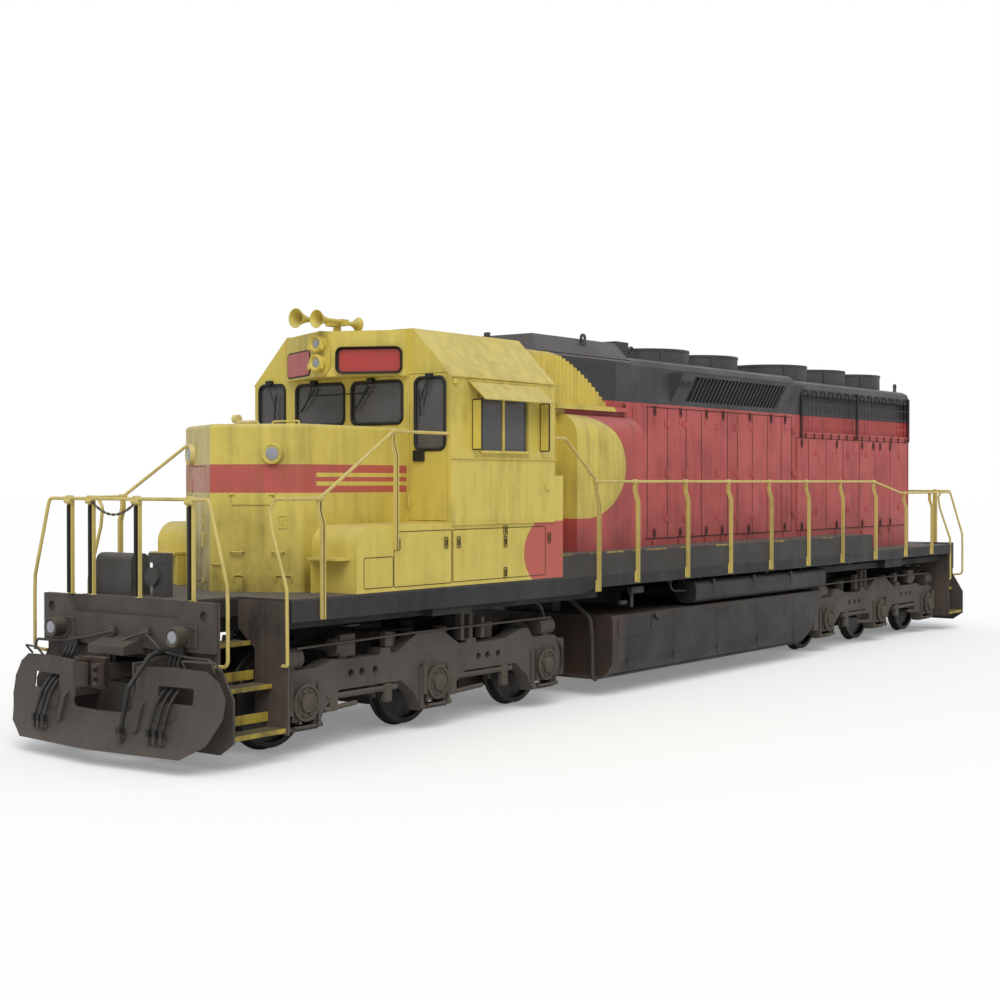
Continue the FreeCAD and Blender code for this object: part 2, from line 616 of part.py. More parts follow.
roof = prism("roof", "YZ", (
    ("half_width", "cab_eave - 30"), ("half_width", "cab_eave"), ("roof_half", "cab_top"),
    ("-roof_half", "cab_top"), ("-half_width", "cab_eave"), ("-half_width", "cab_eave - 30"),
    ("-half_width + wall", "cab_eave - 30"), ("-half_width + wall", "cab_eave - 17"),
    ("-roof_half + 12", "cab_top - roof_wall"), ("roof_half - 12", "cab_top - roof_wall"),
    ("half_width - wall", "cab_eave - 17"), ("half_width - wall", "cab_eave - 30"),
), "cab_rear + wall", "cab_front - wall")
roof_edge = prism("roof_edge", "YZ", (
    ("half_width", "cab_eave"), ("roof_half", "cab_top"), ("-roof_half", "cab_top"), ("-half_width", "cab_eave"),
    ("-roof_half", "cab_top - roof_wall"), ("roof_half", "cab_top - roof_wall"),
), "cab_rear", "cab_front")
relief = [box("roof_relief_front", ("cab_front - wall - door_gap", "cab_front - wall + 1"), (DOOR_Y[0] - 10, 1490),
              (3900, 4100)),
          box("roof_relief_rear", ("cab_rear + wall - 1", "cab_rear + wall + door_gap"),
              ("-half_width + wall", REAR_DOOR_Y[1] + 10), (3900, 4100))]
node("cab_roof", cut("cab_roof_all", fuse("cab_roof_body", [roof, roof_edge]), relief))

# Panes: flush in their openings; the doors' panes are in the doors' own openings.
PANE = 8
pane_x = (f"cab_front - wall / 2 - {PANE / 2}", f"cab_front - wall / 2 + {PANE / 2}")
rear_pane_x = (f"cab_rear + wall / 2 - {PANE / 2}", f"cab_rear + wall / 2 + {PANE / 2}")
pane_y = (f"half_width - wall / 2 - {PANE / 2}", f"half_width - wall / 2 + {PANE / 2}")
panes = [
    opening("pane_screen_left", pane_x, SCREEN_Y, SCREEN_Z, "x", WINDOW_ROUND),
    opening("pane_screen_right", pane_x, (-SCREEN_Y[1], -SCREEN_Y[0]), SCREEN_Z, "x", WINDOW_ROUND),
    opening("pane_tall_right", pane_x, (-TALL_Y[1], -TALL_Y[0]), TALL_Z, "x", WINDOW_ROUND),
    opening("pane_rear", rear_pane_x, (1030, 1440), (3200, 3850), "x", WINDOW_ROUND),
]
for number, x in enumerate(((SIDE_X[0], 5160), (5205, SIDE_X[1]))):
    pane = box(f"pane_side_{number}", x, pane_y, SIDE_Z)
    panes += [pane, mirrored(f"pane_side_right_{number}", pane, "y")]
node("cab_glass", group("Part::Compound", "cab_glass_all", panes))

# Cab doors: a leaf with a window, hung on its inner edge; the panes are glazed in.
door_leaf = box("front_leaf", ("cab_front - wall", "cab_front"), (DOOR_Y[0] + 6, DOOR_Y[1] - 6),
                ("cab_floor + door_gap", f"{DOOR_Z[1]} - door_gap"))
door_hole = opening("front_leaf_hole", front_x, TALL_Y, TALL_Z, "x", WINDOW_ROUND)
front_door = cut("front_door", door_leaf, [door_hole])
rear_leaf = box("rear_leaf", ("cab_rear", "cab_rear + wall"), (REAR_DOOR_Y[0] + 6, REAR_DOOR_Y[1] - 6),
                ("cab_floor + door_gap", f"{DOOR_Z[1]} - door_gap"))
rear_hole = opening("rear_leaf_hole", rear_x, (-1420, -1040), TALL_Z, "x", WINDOW_ROUND)
rear_door = cut("rear_door", rear_leaf, [rear_hole])

# The doors' hinges: upright barrels just outside the end walls, at the doors' inner edges.
HINGE_Z = (2560, 3700)
PIVOT_OUT = BARREL + d.seat_gap
QUARTER = Rotation(Vector(0, 0, 1), 90)


def door_hinges(name, door, wall_piece, x, y, outward, doorward, post_reach):
    """Hinges of a cab door at plan point x, y; the barrels' straps run along Y."""
    flat = (-outward * PIVOT_OUT, -outward * (PIVOT_OUT - 4))
    across = tuple(sorted(-place for place in flat))
    leaf_side, post_side = hinge_barrels((0, 0), (doorward * 70, *across), (-doorward * post_reach, *across), HINGE_Z)
    place = Placement(Vector(x, y, 0), QUARTER)
    pieces = []
    for label, side in (("leaf", leaf_side), ("post", post_side)):
        pieces.append(built(f"{name}_{label}_barrels", Part.makeCompound(side), place))
    return fuse(f"{name}_hung", [door, pieces[0]]), fuse(f"{name}_wall", [wall_piece, pieces[1]])


front_hung, front_wall_whole = door_hinges("front_hinge", front_door, front_cut_wall, d.cab_front + PIVOT_OUT,
                                           DOOR_Y[0], 1, 1, 36)
rear_hung, rear_wall_whole = door_hinges("rear_hinge", rear_door, rear_cut_wall, d.cab_rear - PIVOT_OUT,
                                         REAR_DOOR_Y[1], -1, -1, 28)
node("cab_front_wall", front_wall_whole)
node("cab_rear_wall", rear_wall_whole)
node("cab_door_front", front_hung)
node("cab_door_rear", rear_hung)

# Seats and the driving desk inside the cab.
# seat: x, y
SEATS = ((5050, -1050), (5050, 1000), (4650, 350))
seats = []
for number, (x, y) in enumerate(SEATS):
    stem = cylinder(f"seat_stem_{number}", 45, (x, y, "cab_floor"), "z", 430)
    cushion = box(f"seat_cushion_{number}", (x - 230, x + 230), (y - 230, y + 230),
                  ("cab_floor + 400", "cab_floor + 500"))
    back = box(f"seat_back_{number}", (x - 230, x - 150), (y - 220, y + 220),
               ("cab_floor + 460", "cab_floor + 1050"))
    seats.append(fuse(f"seat_{number}", [stem, cushion, back]))
node("cab_seats", group("Part::Compound", "cab_seats_all", seats))
desk = prism("desk", "XZ", (
    (5420, "cab_floor"), (5900, "cab_floor"), (5900, "cab_floor + 1000"), (5700, "cab_floor + 1150"),
    (5600, "cab_floor + 1120"), (5420, "cab_floor + 850"),
), -800, -150)
node("control_desk", desk)

# Box over the windscreens: number panels on two facets that meet in a housing for the headlights.
BOX_TIP = 6620
board = prism("board_box", "XY", (
    ("cab_front", -930), ("cab_front + 60", -930), (BOX_TIP, -110), (BOX_TIP, 110), ("cab_front + 60", 930),
    ("cab_front", 930),
), 3965, 4480)
housing_low = cylinder("housing_low", 150, (BOX_TIP - 120, 0, 4120), "x", 135)
housing_high = cylinder("housing_high", 150, (BOX_TIP - 120, 0, 4340), "x", 135)
housing_mid = box("housing_mid", (BOX_TIP - 120, BOX_TIP + 15), (-150, 150), (4120, 4340))
node("number_box", fuse("number_box_all", [board, housing_low, housing_high, housing_mid]))

# Lamps: two headlights, two low lamps on the front end plate and two on the nose corners.
NOSE_LAMP_Y = 620
nose_lamp_x = d.nose_tip - (d.nose_tip - d.nose_corner) * NOSE_LAMP_Y / d.nose_half
facet_normal = Vector(d.nose_half, d.nose_tip - d.nose_corner, 0).normalize()
lamps = [
    cylinder("headlight_low", 95, (BOX_TIP + 15, 0, 4120), "x", 70),
    cylinder("headlight_high", 95, (BOX_TIP + 15, 0, 4340), "x", 70),
    cylinder("low_lamp_left", 95, ("end_x + 120", 920, 1285), "x", 130),
    cylinder("low_lamp_right", 95, ("end_x + 120", -920, 1285), "x", 130),
]
for side, way in (("left", 1), ("right", -1)):
    seat_point = Vector(nose_lamp_x, way * NOSE_LAMP_Y, 3065)
    normal = Vector(facet_normal.x, way * facet_normal.y, 0)
    lamps.append(built(f"nose_lamp_{side}", rod(110, seat_point, seat_point + normal * 40)))
node("lamps", group("Part::Compound", "lamps_all", lamps))


# Horn: three bells on one manifold, two sounding forward and one back.
BELL_THROAT = 24
BELL_WALL = 7


def bell(mouth_radius, length):
    """A horn bell along +X with its throat at the origin, hollow from a third of its length on."""
    waist = 0.35 * length
    flare = 0.8 * length
    mouth = Vector(length, 0, mouth_radius)
    inner_mouth = Vector(length, 0, mouth_radius - BELL_WALL)
    outline = Part.Wire([
        Part.makeLine(Vector(0, 0, 0), Vector(0, 0, BELL_THROAT)),
        Part.makeLine(Vector(0, 0, BELL_THROAT), Vector(waist, 0, BELL_THROAT + 2)),
        Part.Arc(Vector(waist, 0, BELL_THROAT + 2), Vector(flare, 0, 0.52 * mouth_radius), mouth).toShape(),
        Part.makeLine(mouth, inner_mouth),
        Part.Arc(inner_mouth, Vector(flare, 0, 0.52 * mouth_radius - BELL_WALL),
                 Vector(waist, 0, BELL_THROAT - BELL_WALL)).toShape(),
        Part.makeLine(Vector(waist, 0, BELL_THROAT - BELL_WALL), Vector(waist, 0, 0)),
        Part.makeLine(Vector(waist, 0, 0), Vector(0, 0, 0)),
    ])
    return Part.Face(outline).revolve(Vector(), Vector(1, 0, 0), 360)


BOARD_TOP = 4480
HORN_Z = 4600
# bell: throat x, y, height over the manifold, length, mouth radius, whether it sounds forward
BELLS = ((6380, -125, 20, 520, 112, True), (6380, 110, 5, 430, 104, True), (6320, 0, 10, 330, 85, False))
horn_parts = [rod(45, (6350, 0, BOARD_TOP), (6350, 0, HORN_Z)),
              block((6290, 6410), (-130, 130), (HORN_Z - 35, HORN_Z + 35)),
              block((6230, 6470), (-70, 70), (BOARD_TOP, BOARD_TOP + 16))]
for x, y, rise, length, radius, forward in BELLS:
    piece = bell(radius, length)
    if not forward:
        piece.rotate(Vector(), Vector(0, 0, 1), 180)
    piece.translate(Vector(x, y, HORN_Z + rise))
    horn_parts.append(piece)
node("horn", built("horn_shape", joined(horn_parts)))

# --------------------------------------------------------------------------- long hood
# Blower section behind the cab: a sheet body with a bevelled hatch on its roof and, on the left,
# the blower duct's rounded casing under the air intake's ledge.
DUCT_X = (1697, 3267)
DUCT_OUT = 1250
DUCT_TOP = 3645
DUCT_ROUND = 300
INTAKE_X = (1727, 3437)
INTAKE_Z = (3700, 3760)
HATCH_X = (1497, 3600)
HATCH_FOOT = 900
HATCH_FLAT = 700

blower_outer = prism("blower_outer", "YZ", (
    ("hood_half", "deck_top"), ("hood_half", "blower_top - 40"), ("hood_half - 60", "blower_top"),
    ("-hood_half + 60", "blower_top"), ("-hood_half", "blower_top - 40"), ("-hood_half", "deck_top"),
), "blower_rear", "cab_rear")
blower_inner = box("blower_inner", ("blower_rear + hood_wall", "cab_rear - hood_wall"),
                   ("-hood_half + hood_wall", "hood_half - hood_wall"), ("deck_top - 5", "blower_top - 75"))
duct_block = box("duct_block", DUCT_X, ("hood_half", DUCT_OUT), ("raised_top", DUCT_TOP))
duct = rounded("duct", duct_block, DUCT_ROUND, lambda edge: (
    along(edge, "x") and edge.BoundBox.YMin > DUCT_OUT - 1 and edge.BoundBox.ZMin > DUCT_TOP - 1))
ledge = box("intake_ledge", INTAKE_X, ("hood_half", 1075), INTAKE_Z)
hatch_outlines = []
for low, high, half, z in ((HATCH_X[0], HATCH_X[1] + 60, HATCH_FOOT, d.blower_top),
                           (HATCH_X[0] + 60, HATCH_X[1] - 120, HATCH_FLAT, d.hatch_top)):
    corners = ((low, -half), (high, -half), (high, half), (low, half), (low, -half))
    hatch_outlines.append(Part.makePolygon([Vector(x, y, z) for x, y in corners]))
hatch = built("hatch", Part.makeLoft(hatch_outlines, True, True))
blower = fuse("blower", [cut("blower_shell", blower_outer, [blower_inner]), duct, ledge, hatch])
node("blower_hood", blower)

# Engine section: a sheet box whose long doors stand a little proud of it, in pairs of leaves.
# door: front edge, rear edge
DOORS = ((1480, 1115), (1100, 575), (560, 55), (40, -385), (-400, -1165), (-1180, -1475), (-1490, -1955),
         (-1970, -2445), (-2460, -2925), (-2940, -3275))
DOOR_Z0, DOOR_Z1 = 1990, 3800
DOOR_PROUD = 10
engine_outer = box("engine_outer", ("-engine_rear", "blower_rear"), ("-hood_half", "hood_half"),
                   ("deck_top", "hood_eave"))
engine_inner = box("engine_inner", ("-engine_rear + hood_wall", "blower_rear - hood_wall"),
                   ("-hood_half + hood_wall", "hood_half - hood_wall"), ("deck_top - 5", "hood_eave - hood_wall"))
leaves = []
for number, (front, rear) in enumerate(DOORS):
    for side, y in (("left", ("hood_half - 5", f"hood_half + {DOOR_PROUD}")),
                    ("right", (f"-hood_half - {DOOR_PROUD}", "-hood_half + 5"))):
        leaves.append(box(f"hood_door_{side}_{number}", (rear, front), y, (DOOR_Z0, DOOR_Z1)))
node("engine_hood", fuse("engine_hood_all", [cut("engine_shell", engine_outer, [engine_inner])] + leaves))

# Dynamic brake housing on the engine section, flared each side over its grilles, with the
# exhaust stack on its roof.
FLARE_X = (-3303, 467)
FLARE_OUT = 1165
FLARE_TOP = 4305
GRILLE_X = (-2720, 107)
GRILLE_Z = (3925, 4265)
housing = prism("brake_body", "YZ", (
    ("hood_half", "hood_eave"), ("hood_half", "brake_top - 110"), ("hood_half - 35", "brake_top - 40"),
    ("hood_half - 110", "brake_top"), ("-hood_half + 110", "brake_top"), ("-hood_half + 35", "brake_top - 40"),
    ("-hood_half", "brake_top - 110"), ("-hood_half", "hood_eave"),
), "-engine_rear", "blower_rear")


FLARE_SLOPE = (FLARE_OUT - d.hood_half) / (FLARE_TOP - d.hood_eave)
grille_low, grille_high = (d.hood_half + FLARE_SLOPE * (z - d.hood_eave) for z in GRILLE_Z)
flare = prism("flare", "YZ", (
    ("hood_half - 5", "hood_eave"), ("hood_half", "hood_eave"), (FLARE_OUT, FLARE_TOP), ("hood_half - 5", FLARE_TOP),
), *FLARE_X)
pocket = prism("grille_pocket", "YZ", (
    (grille_low - 45, GRILLE_Z[0]), (grille_low + 10, GRILLE_Z[0]), (grille_high + 10, GRILLE_Z[1]),
    (grille_high - 45, GRILLE_Z[1]),
), *GRILLE_X)
stack = box("exhaust_stack", (560, 900), (-300, 300), ("brake_top", 4765))
brake_body = fuse("brake_solid", [housing, flare, mirrored("flare_right", flare, "y"), stack])
housing_room = box("housing_room", ("-engine_rear + hood_wall", "blower_rear - hood_wall"), (-840, 840),
                   ("hood_eave - 5", "brake_top - 60"))
node("brake_housing", cut("brake_housing_all", brake_body,
                          [pocket, mirrored("grille_pocket_right", pocket, "y"), housing_room]))

# Radiator section, with a deep air intake on each side behind a wire cage.
CAGE_X = (-8040, -3633)
CAGE_Z = (3545, 4225)
CAGE_DEPTH = 90
radiator_outer = prism("radiator_outer", "YZ", (
    ("hood_half", "deck_top"), ("hood_half", "radiator_top - 130"), ("hood_half - 40", "radiator_top - 45"),
    ("hood_half - 130", "radiator_top"), ("-hood_half + 130", "radiator_top"), ("-hood_half + 40", "radiator_top - 45"),
    ("-hood_half", "radiator_top - 130"), ("-hood_half", "deck_top"),
), "-hood_rear", "-engine_rear")
intakes = [box(f"intake_{side}", CAGE_X, y, CAGE_Z)
           for side, y in (("left", (f"hood_half - {CAGE_DEPTH}", "hood_half + 5")),
                           ("right", ("-hood_half - 5", f"-hood_half + {CAGE_DEPTH}")))]
REAR_DOORS = ((-3450, -3900), (-3915, -4560), (-4575, -5220), (-5235, -5880), (-5895, -6540), (-6555, -7200),
              (-7215, -7990))
rear_leaves = []
for number, (front, rear) in enumerate(REAR_DOORS):
    for side, y in (("left", ("hood_half - 5", f"hood_half + {DOOR_PROUD}")),
                    ("right", (f"-hood_half - {DOOR_PROUD}", "-hood_half + 5"))):
        rear_leaves.append(box(f"rear_door_{side}_{number}", (rear, front), y, (DOOR_Z0, 3480)))
radiator_inner = box("radiator_inner", ("-hood_rear + hood_wall", "-engine_rear - hood_wall"),
                     (f"-hood_half + hood_wall + {CAGE_DEPTH}", f"hood_half - hood_wall - {CAGE_DEPTH}"),
                     ("deck_top - 5", "radiator_top - 60"))
radiator_body = cut("radiator_body", radiator_outer, intakes + [radiator_inner])
node("radiator_hood", fuse("radiator_hood_all", [radiator_body] + rear_leaves))


# Grilles: the intake filter's fins, the slats over the dynamic brake and the radiator cages.
FIN_X = (1920, 3620)
FIN_Z = (3765, 4380)
FIN_PITCH = 85
SLAT_PITCH = 105
CAGE_PITCH = 147
BAR = 6


def grille_shapes():
    """The left side's grilles: filter fins, brake slats and one radiator cage."""
    fins = [block((FIN_X[0], FIN_X[1]), (d.hood_half, d.hood_half + 8), FIN_Z)]
    for step in range(int((FIN_X[1] - FIN_X[0]) / FIN_PITCH)):
        x = FIN_X[0] + (step + 0.5) * FIN_PITCH
        fins.append(slab(((x - 26, d.hood_half + 4), (x + 26, d.hood_half + 4), (x, d.hood_half + 48)), "z", *FIN_Z))
    slats = []
    for step in range(int((GRILLE_X[1] - GRILLE_X[0]) / SLAT_PITCH)):
        x = GRILLE_X[0] + (step + 0.5) * SLAT_PITCH
        slats.append(slab(((grille_low - 45, GRILLE_Z[0]), (grille_low + 2, GRILLE_Z[0]), (grille_high + 2, GRILLE_Z[1]),
                           (grille_high - 45, GRILLE_Z[1])), "x", x - 16, x + 16))
    face = d.hood_half + 12
    cage = [block(CAGE_X, (face - 12, face), (z, z + 40)) for z in (CAGE_Z[0], CAGE_Z[1] - 40)]
    middle = (CAGE_X[0] + CAGE_X[1]) / 2
    for x in (CAGE_X[0], middle - 20, CAGE_X[1] - 40):
        cage.append(block((x, x + 40), (face - 12, face), CAGE_Z))
    for step in range(1, int((CAGE_X[1] - CAGE_X[0]) / CAGE_PITCH)):
        x = CAGE_X[0] + step * CAGE_PITCH
        cage.append(block((x - BAR, x + BAR), (face - 12, face - 2), CAGE_Z))
    for z in (3715, 3885, 4055):
        cage.append(block(CAGE_X, (face - 10, face - 4), (z - BAR, z + BAR)))
    return [joined(fins)] + slats + [joined(cage)]


grilles = grille_shapes()
grilles += [mirror_shape(shape, "y") for shape in grilles]
node("hood_grilles", built("grille_shape", Part.makeCompound(grilles)))

# Fans: two over the dynamic brake and three over the radiators.  Each shroud is a ring on the roof
# with a wheel of bars over the top and a bearing post; each rotor is a hub with blades.
BRAKE_FANS_X = 1070
RADIATOR_FANS_X = 5740
# fan: x, roof that it stands on
FANS = ((-BRAKE_FANS_X + d.fan_pitch / 2, d.brake_top), (-BRAKE_FANS_X - d.fan_pitch / 2, d.brake_top),
        (-RADIATOR_FANS_X + d.fan_pitch, d.radiator_top), (-RADIATOR_FANS_X, d.radiator_top),
        (-RADIATOR_FANS_X - d.fan_pitch, d.radiator_top))
SHROUD_WALL = 18
BLADES = 8
ROTOR_GAP = 30
FAN_HUB = 130
POST_DROP = 100


def shroud(x, roof):
    ring = Part.makeCylinder(d.fan_radius, d.fan_top - roof, Vector(x, 0, roof))
    ring = ring.cut(Part.makeCylinder(d.fan_radius - SHROUD_WALL, d.fan_top - roof, Vector(x, 0, roof + 12)))
    guard = [ring, Part.makeCylinder(40, d.fan_top - roof - POST_DROP, Vector(x, 0, roof))]
    for radius in (90, 210, 330, 450, 570):
        guard.append(Part.makeCylinder(radius + 7, 8, Vector(x, 0, d.fan_top - 16)).cut(
            Part.makeCylinder(radius - 7, 8, Vector(x, 0, d.fan_top - 16))))
    for turn in range(0, 180, 30):
        bar = block((-d.fan_radius + 5, d.fan_radius - 5), (-7, 7), (d.fan_top - 22, d.fan_top - 10))
        bar.rotate(Vector(), Vector(0, 0, 1), turn)
        bar.translate(Vector(x, 0, 0))
        guard.append(bar)
    return joined(guard)


def rotor(x, roof):
    """Hub and blades, turning on the shroud's bearing post."""
    low, high = roof + 40, d.fan_top - 70
    bore_top = d.fan_top - POST_DROP + d.seat_gap
    hub = Part.makeCylinder(FAN_HUB, high - low, Vector(x, 0, low)).cut(
        Part.makeCylinder(46, bore_top - low, Vector(x, 0, low)))
    pieces = [hub]
    for number in range(BLADES):
        blade = block((FAN_HUB - 10, d.fan_radius - SHROUD_WALL - ROTOR_GAP), (-75, 75), (-4, 4))
        blade.rotate(Vector(), Vector(1, 0, 0), 32)
        blade.rotate(Vector(), Vector(0, 0, 1), number * 360 / BLADES)
        blade.translate(Vector(x, 0, (low + high) / 2))
        pieces.append(blade)
    return joined(pieces)


node("fan_shrouds", built("shroud_shape", Part.makeCompound([shroud(x, roof) for x, roof in FANS])))
for number, (x, roof) in enumerate(FANS, 1):
    node(f"fan_{number}", built(f"fan_{number}_shape", rotor(x, roof)))

# Engine and generator as one plain block inside the hood.
node("engine_block", box("engine_mass", (-3200, 1250), (-620, 620), ("deck_top", 3450)))

# --------------------------------------------------------------------------- tank and reservoirs
TANK_SLOPE_TOP = 3300


def tank_shape():
    """The tank: its cross-section along the locomotive, trimmed to its sloping rear end."""
    half, low, high = d.tank_half, d.tank_bottom, d.tank_top
    section = Part.Wire([
        Part.makeLine(Vector(0, half, high - 40), Vector(0, half, low + 330)),
        Part.Arc(Vector(0, half, low + 330), Vector(0, half - 95, low + 95), Vector(0, half - 330, low)).toShape(),
        Part.makeLine(Vector(0, half - 330, low), Vector(0, -half + 330, low)),
        Part.Arc(Vector(0, -half + 330, low), Vector(0, -half + 95, low + 95), Vector(0, -half, low + 330)).toShape(),
        Part.makeLine(Vector(0, -half, low + 330), Vector(0, -half, high - 40)),
        Part.makeLine(Vector(0, -half, high - 40), Vector(0, -half + 40, high)),
        Part.makeLine(Vector(0, -half + 40, high), Vector(0, half - 40, high)),
        Part.makeLine(Vector(0, half - 40, high), Vector(0, half, high - 40)),
    ])
    section.translate(Vector(-TANK_SLOPE_TOP, 0, 0))
    body = Part.Face(section).extrude(Vector(TANK_SLOPE_TOP + d.tank_front, 0, 0))
    side = slab(((-d.tank_rear, low), (d.tank_front - 60, low), (d.tank_front, low + 60), (d.tank_front, high),
                 (-TANK_SLOPE_TOP, high)), "y", -half, half)
    saddles = [block((x - 90, x + 90), (-d.centre_half, d.centre_half), (high, d.centre_bottom))
               for x in (-2900, -1000, 1000, 2500)]
    room = block((-2600, d.tank_front - 80), (-half + 120, half - 120), (low + 60, high - 25))
    return joined([body.common(side).cut(room)] + saddles)


node("fuel_tank", built("tank_shape", tank_shape()))

RESERVOIR_X = (-3413, 697)
RESERVOIR_Z = (1085, 1400)
RESERVOIR_Y = (1160, 1500)
reservoir = rounded("reservoir_round", box("reservoir_block", RESERVOIR_X, RESERVOIR_Y, RESERVOIR_Z), 115,
                    lambda edge: along(edge, "x"))
straps = [box(f"reservoir_strap_{x}", (x - 40, x + 40), (1250, 1330), (1380, "deck_top - deck_plate"))
          for x in (-2900, -1900, -700, 300)]
reservoir_set = fuse("reservoir_set", [reservoir] + straps)
node("air_reservoirs", both("reservoirs", reservoir_set, "y"))

# --------------------------------------------------------------------------- wheelsets
JOURNAL = 880
HUB = (640, 860)


def turned(name, corners, start):
    """An outline of bound corners (radius, place along Y) turned about its own Y axis."""
    solid = doc.addObject("Part::Revolution", name)
    solid.Source = drawn(name, corners)
    solid.Axis = Vector(0, 1, 0)
    solid.Angle = 360
    solid.Solid = True
    for letter, place in zip("xyz", start):
        solid.setExpression(f"Placement.Base.{letter}", bound(place))
    return solid


# half of a wheelset's outline: radius, place from the middle of the axle
WHEEL_HALF = (
    ("axle_radius", HUB[0]), ("hub_radius", HUB[0]), ("hub_radius", "wheel_back + 50"),
    ("wheel_radius - rim_depth", "wheel_back + 50"), ("wheel_radius - rim_depth", "wheel_back"),
    ("wheel_radius + 8", "wheel_back"), ("wheel_radius + flange", "wheel_back + 14"),
    ("wheel_radius + flange - 4", "wheel_back + 26"), ("wheel_radius + 4", "wheel_back + 40"),
    ("wheel_radius", "wheel_back + 52"), ("wheel_radius - 5", "wheel_back + rim_width - 8"),
    ("wheel_radius - 12", "wheel_back + rim_width"), ("wheel_radius - rim_depth", "wheel_back + rim_width"),
    ("wheel_radius - rim_depth", "wheel_back + 50 + plate_width"), ("hub_radius", "wheel_back + 50 + plate_width"),
    ("hub_radius", HUB[1]), ("journal_radius", HUB[1]), ("journal_radius", "axle_half"),
)
wheel_outline = [(0, "-axle_half")]
wheel_outline += [(radius, f"-({place})") for radius, place in reversed(WHEEL_HALF)]
wheel_outline += list(WHEEL_HALF)
wheel_outline += [(0, "axle_half")]
axle_height = "wheel_radius + flange"
# wheelsets from the front: truck, offset from its middle
for number, (way, offset) in enumerate((("", "axle_pitch"), ("", 0), ("", "-axle_pitch"),
                                        ("-", "axle_pitch"), ("-", 0), ("-", "-axle_pitch")), 1):
    node(f"wheelset_{number}", turned(f"wheelset_{number}_body", wheel_outline,
                                      (f"{way}bolster_x + ({offset})", 0, axle_height)))

# --------------------------------------------------------------------------- trucks
# Side frame outline from its front end round; place from the truck's middle, height.
FRAME_TOP = (
    (2370, 560), (2370, 800), (2300, 858), (1900, 862), (1650, 930), (1500, 912), (914, 912), (900, 980), (754, 980),
    (724, 914), (634, 914), (304, "frame_peak"), (-166, "frame_peak"), (-456, 920), (-596, 920), (-600, 963),
    (-766, 963), (-770, 905), (-1036, 905), (-1336, 917), (-1646, 1000), (-1800, 1000), (-1900, 880),
    (-2340, 880), (-2420, 830), (-2556, 820), (-2556, 370), (-2396, 370), (-2380, 620),
)
LEG = 280
JAW = 170
JAW_TOP = 720
frame_bottom = []
for axle, ahead, behind in ((-2110, 0, 1), (0, 1, 1), (2110, 1, 0)):
    if ahead:
        frame_bottom.append((axle - 560, "frame_low"))
        frame_bottom.append((axle - 330, 430))
    frame_bottom += [(axle - JAW - 90, LEG), (axle - JAW, LEG), (axle - JAW, JAW_TOP), (axle + JAW, JAW_TOP),
                     (axle + JAW, LEG), (axle + JAW + 90, LEG)]
    if behind:
        frame_bottom.append((axle + 330, 430))
        frame_bottom.append((axle + 560, "frame_low"))
side_outline = list(FRAME_TOP) + frame_bottom
FRAME_HOLES = ((1368, 757), (1197, 757), (988, 757), (-821, 742), (-993, 742), (-1202, 742))
TRANSOMS = (-1035, 1035)
TRANSOM_HALF = 150


def truck_corners(way):
    return [(f"{way}(bolster_x + ({place}))", height) for place, height in side_outline]


for end, way in (("front", ""), ("rear", "-")):
    sign = -1 if way else 1
    middle = sign * d.bolster_x
    outside = prism(f"truck_side_{end}", "XZ", truck_corners(way), "frame_in", "frame_out")
    holes = [cylinder(f"truck_hole_{end}_{number}", 45,
                      (f"{way}(bolster_x + ({place}))", "frame_in - 5", height), "y",
                      "frame_out - frame_in + 10") for number, (place, height) in enumerate(FRAME_HOLES)]
    side = cut(f"truck_side_cut_{end}", outside, holes)
    pieces = [side, mirrored(f"truck_side_right_{end}", side, "y")]
    for place in TRANSOMS:
        low, high = sorted((middle + sign * place - TRANSOM_HALF, middle + sign * place + TRANSOM_HALF))
        pieces.append(box(f"transom_{end}_{len(pieces)}", (low, high), ("-frame_in - 5", "frame_in + 5"),
                          (800, 895)))
    pieces.append(box(f"truck_spine_{end}", (f"{way}bolster_x - 1035", f"{way}bolster_x + 1035"), (-250, 250),
                      (800, 960)))
    pieces.append(box(f"truck_bolster_{end}", (f"{way}bolster_x - 380", f"{way}bolster_x + 380"), (-600, 600),
                      (800, "bolster_top")))
    body = fuse(f"truck_body_{end}", pieces)
    bowl = cut(f"bowl_{end}",
               cylinder(f"bowl_outer_{end}", "bowl_radius + 30", (f"{way}bolster_x", 0, "bolster_top - 5"), "z",
                        "bowl_top - bolster_top + 5"),
               [cylinder(f"bowl_bore_{end}", "bowl_radius", (f"{way}bolster_x", 0, "bolster_top - 10"), "z", 100)])
    node(f"truck_frame_{end}", fuse(f"truck_all_{end}", [body, bowl]))


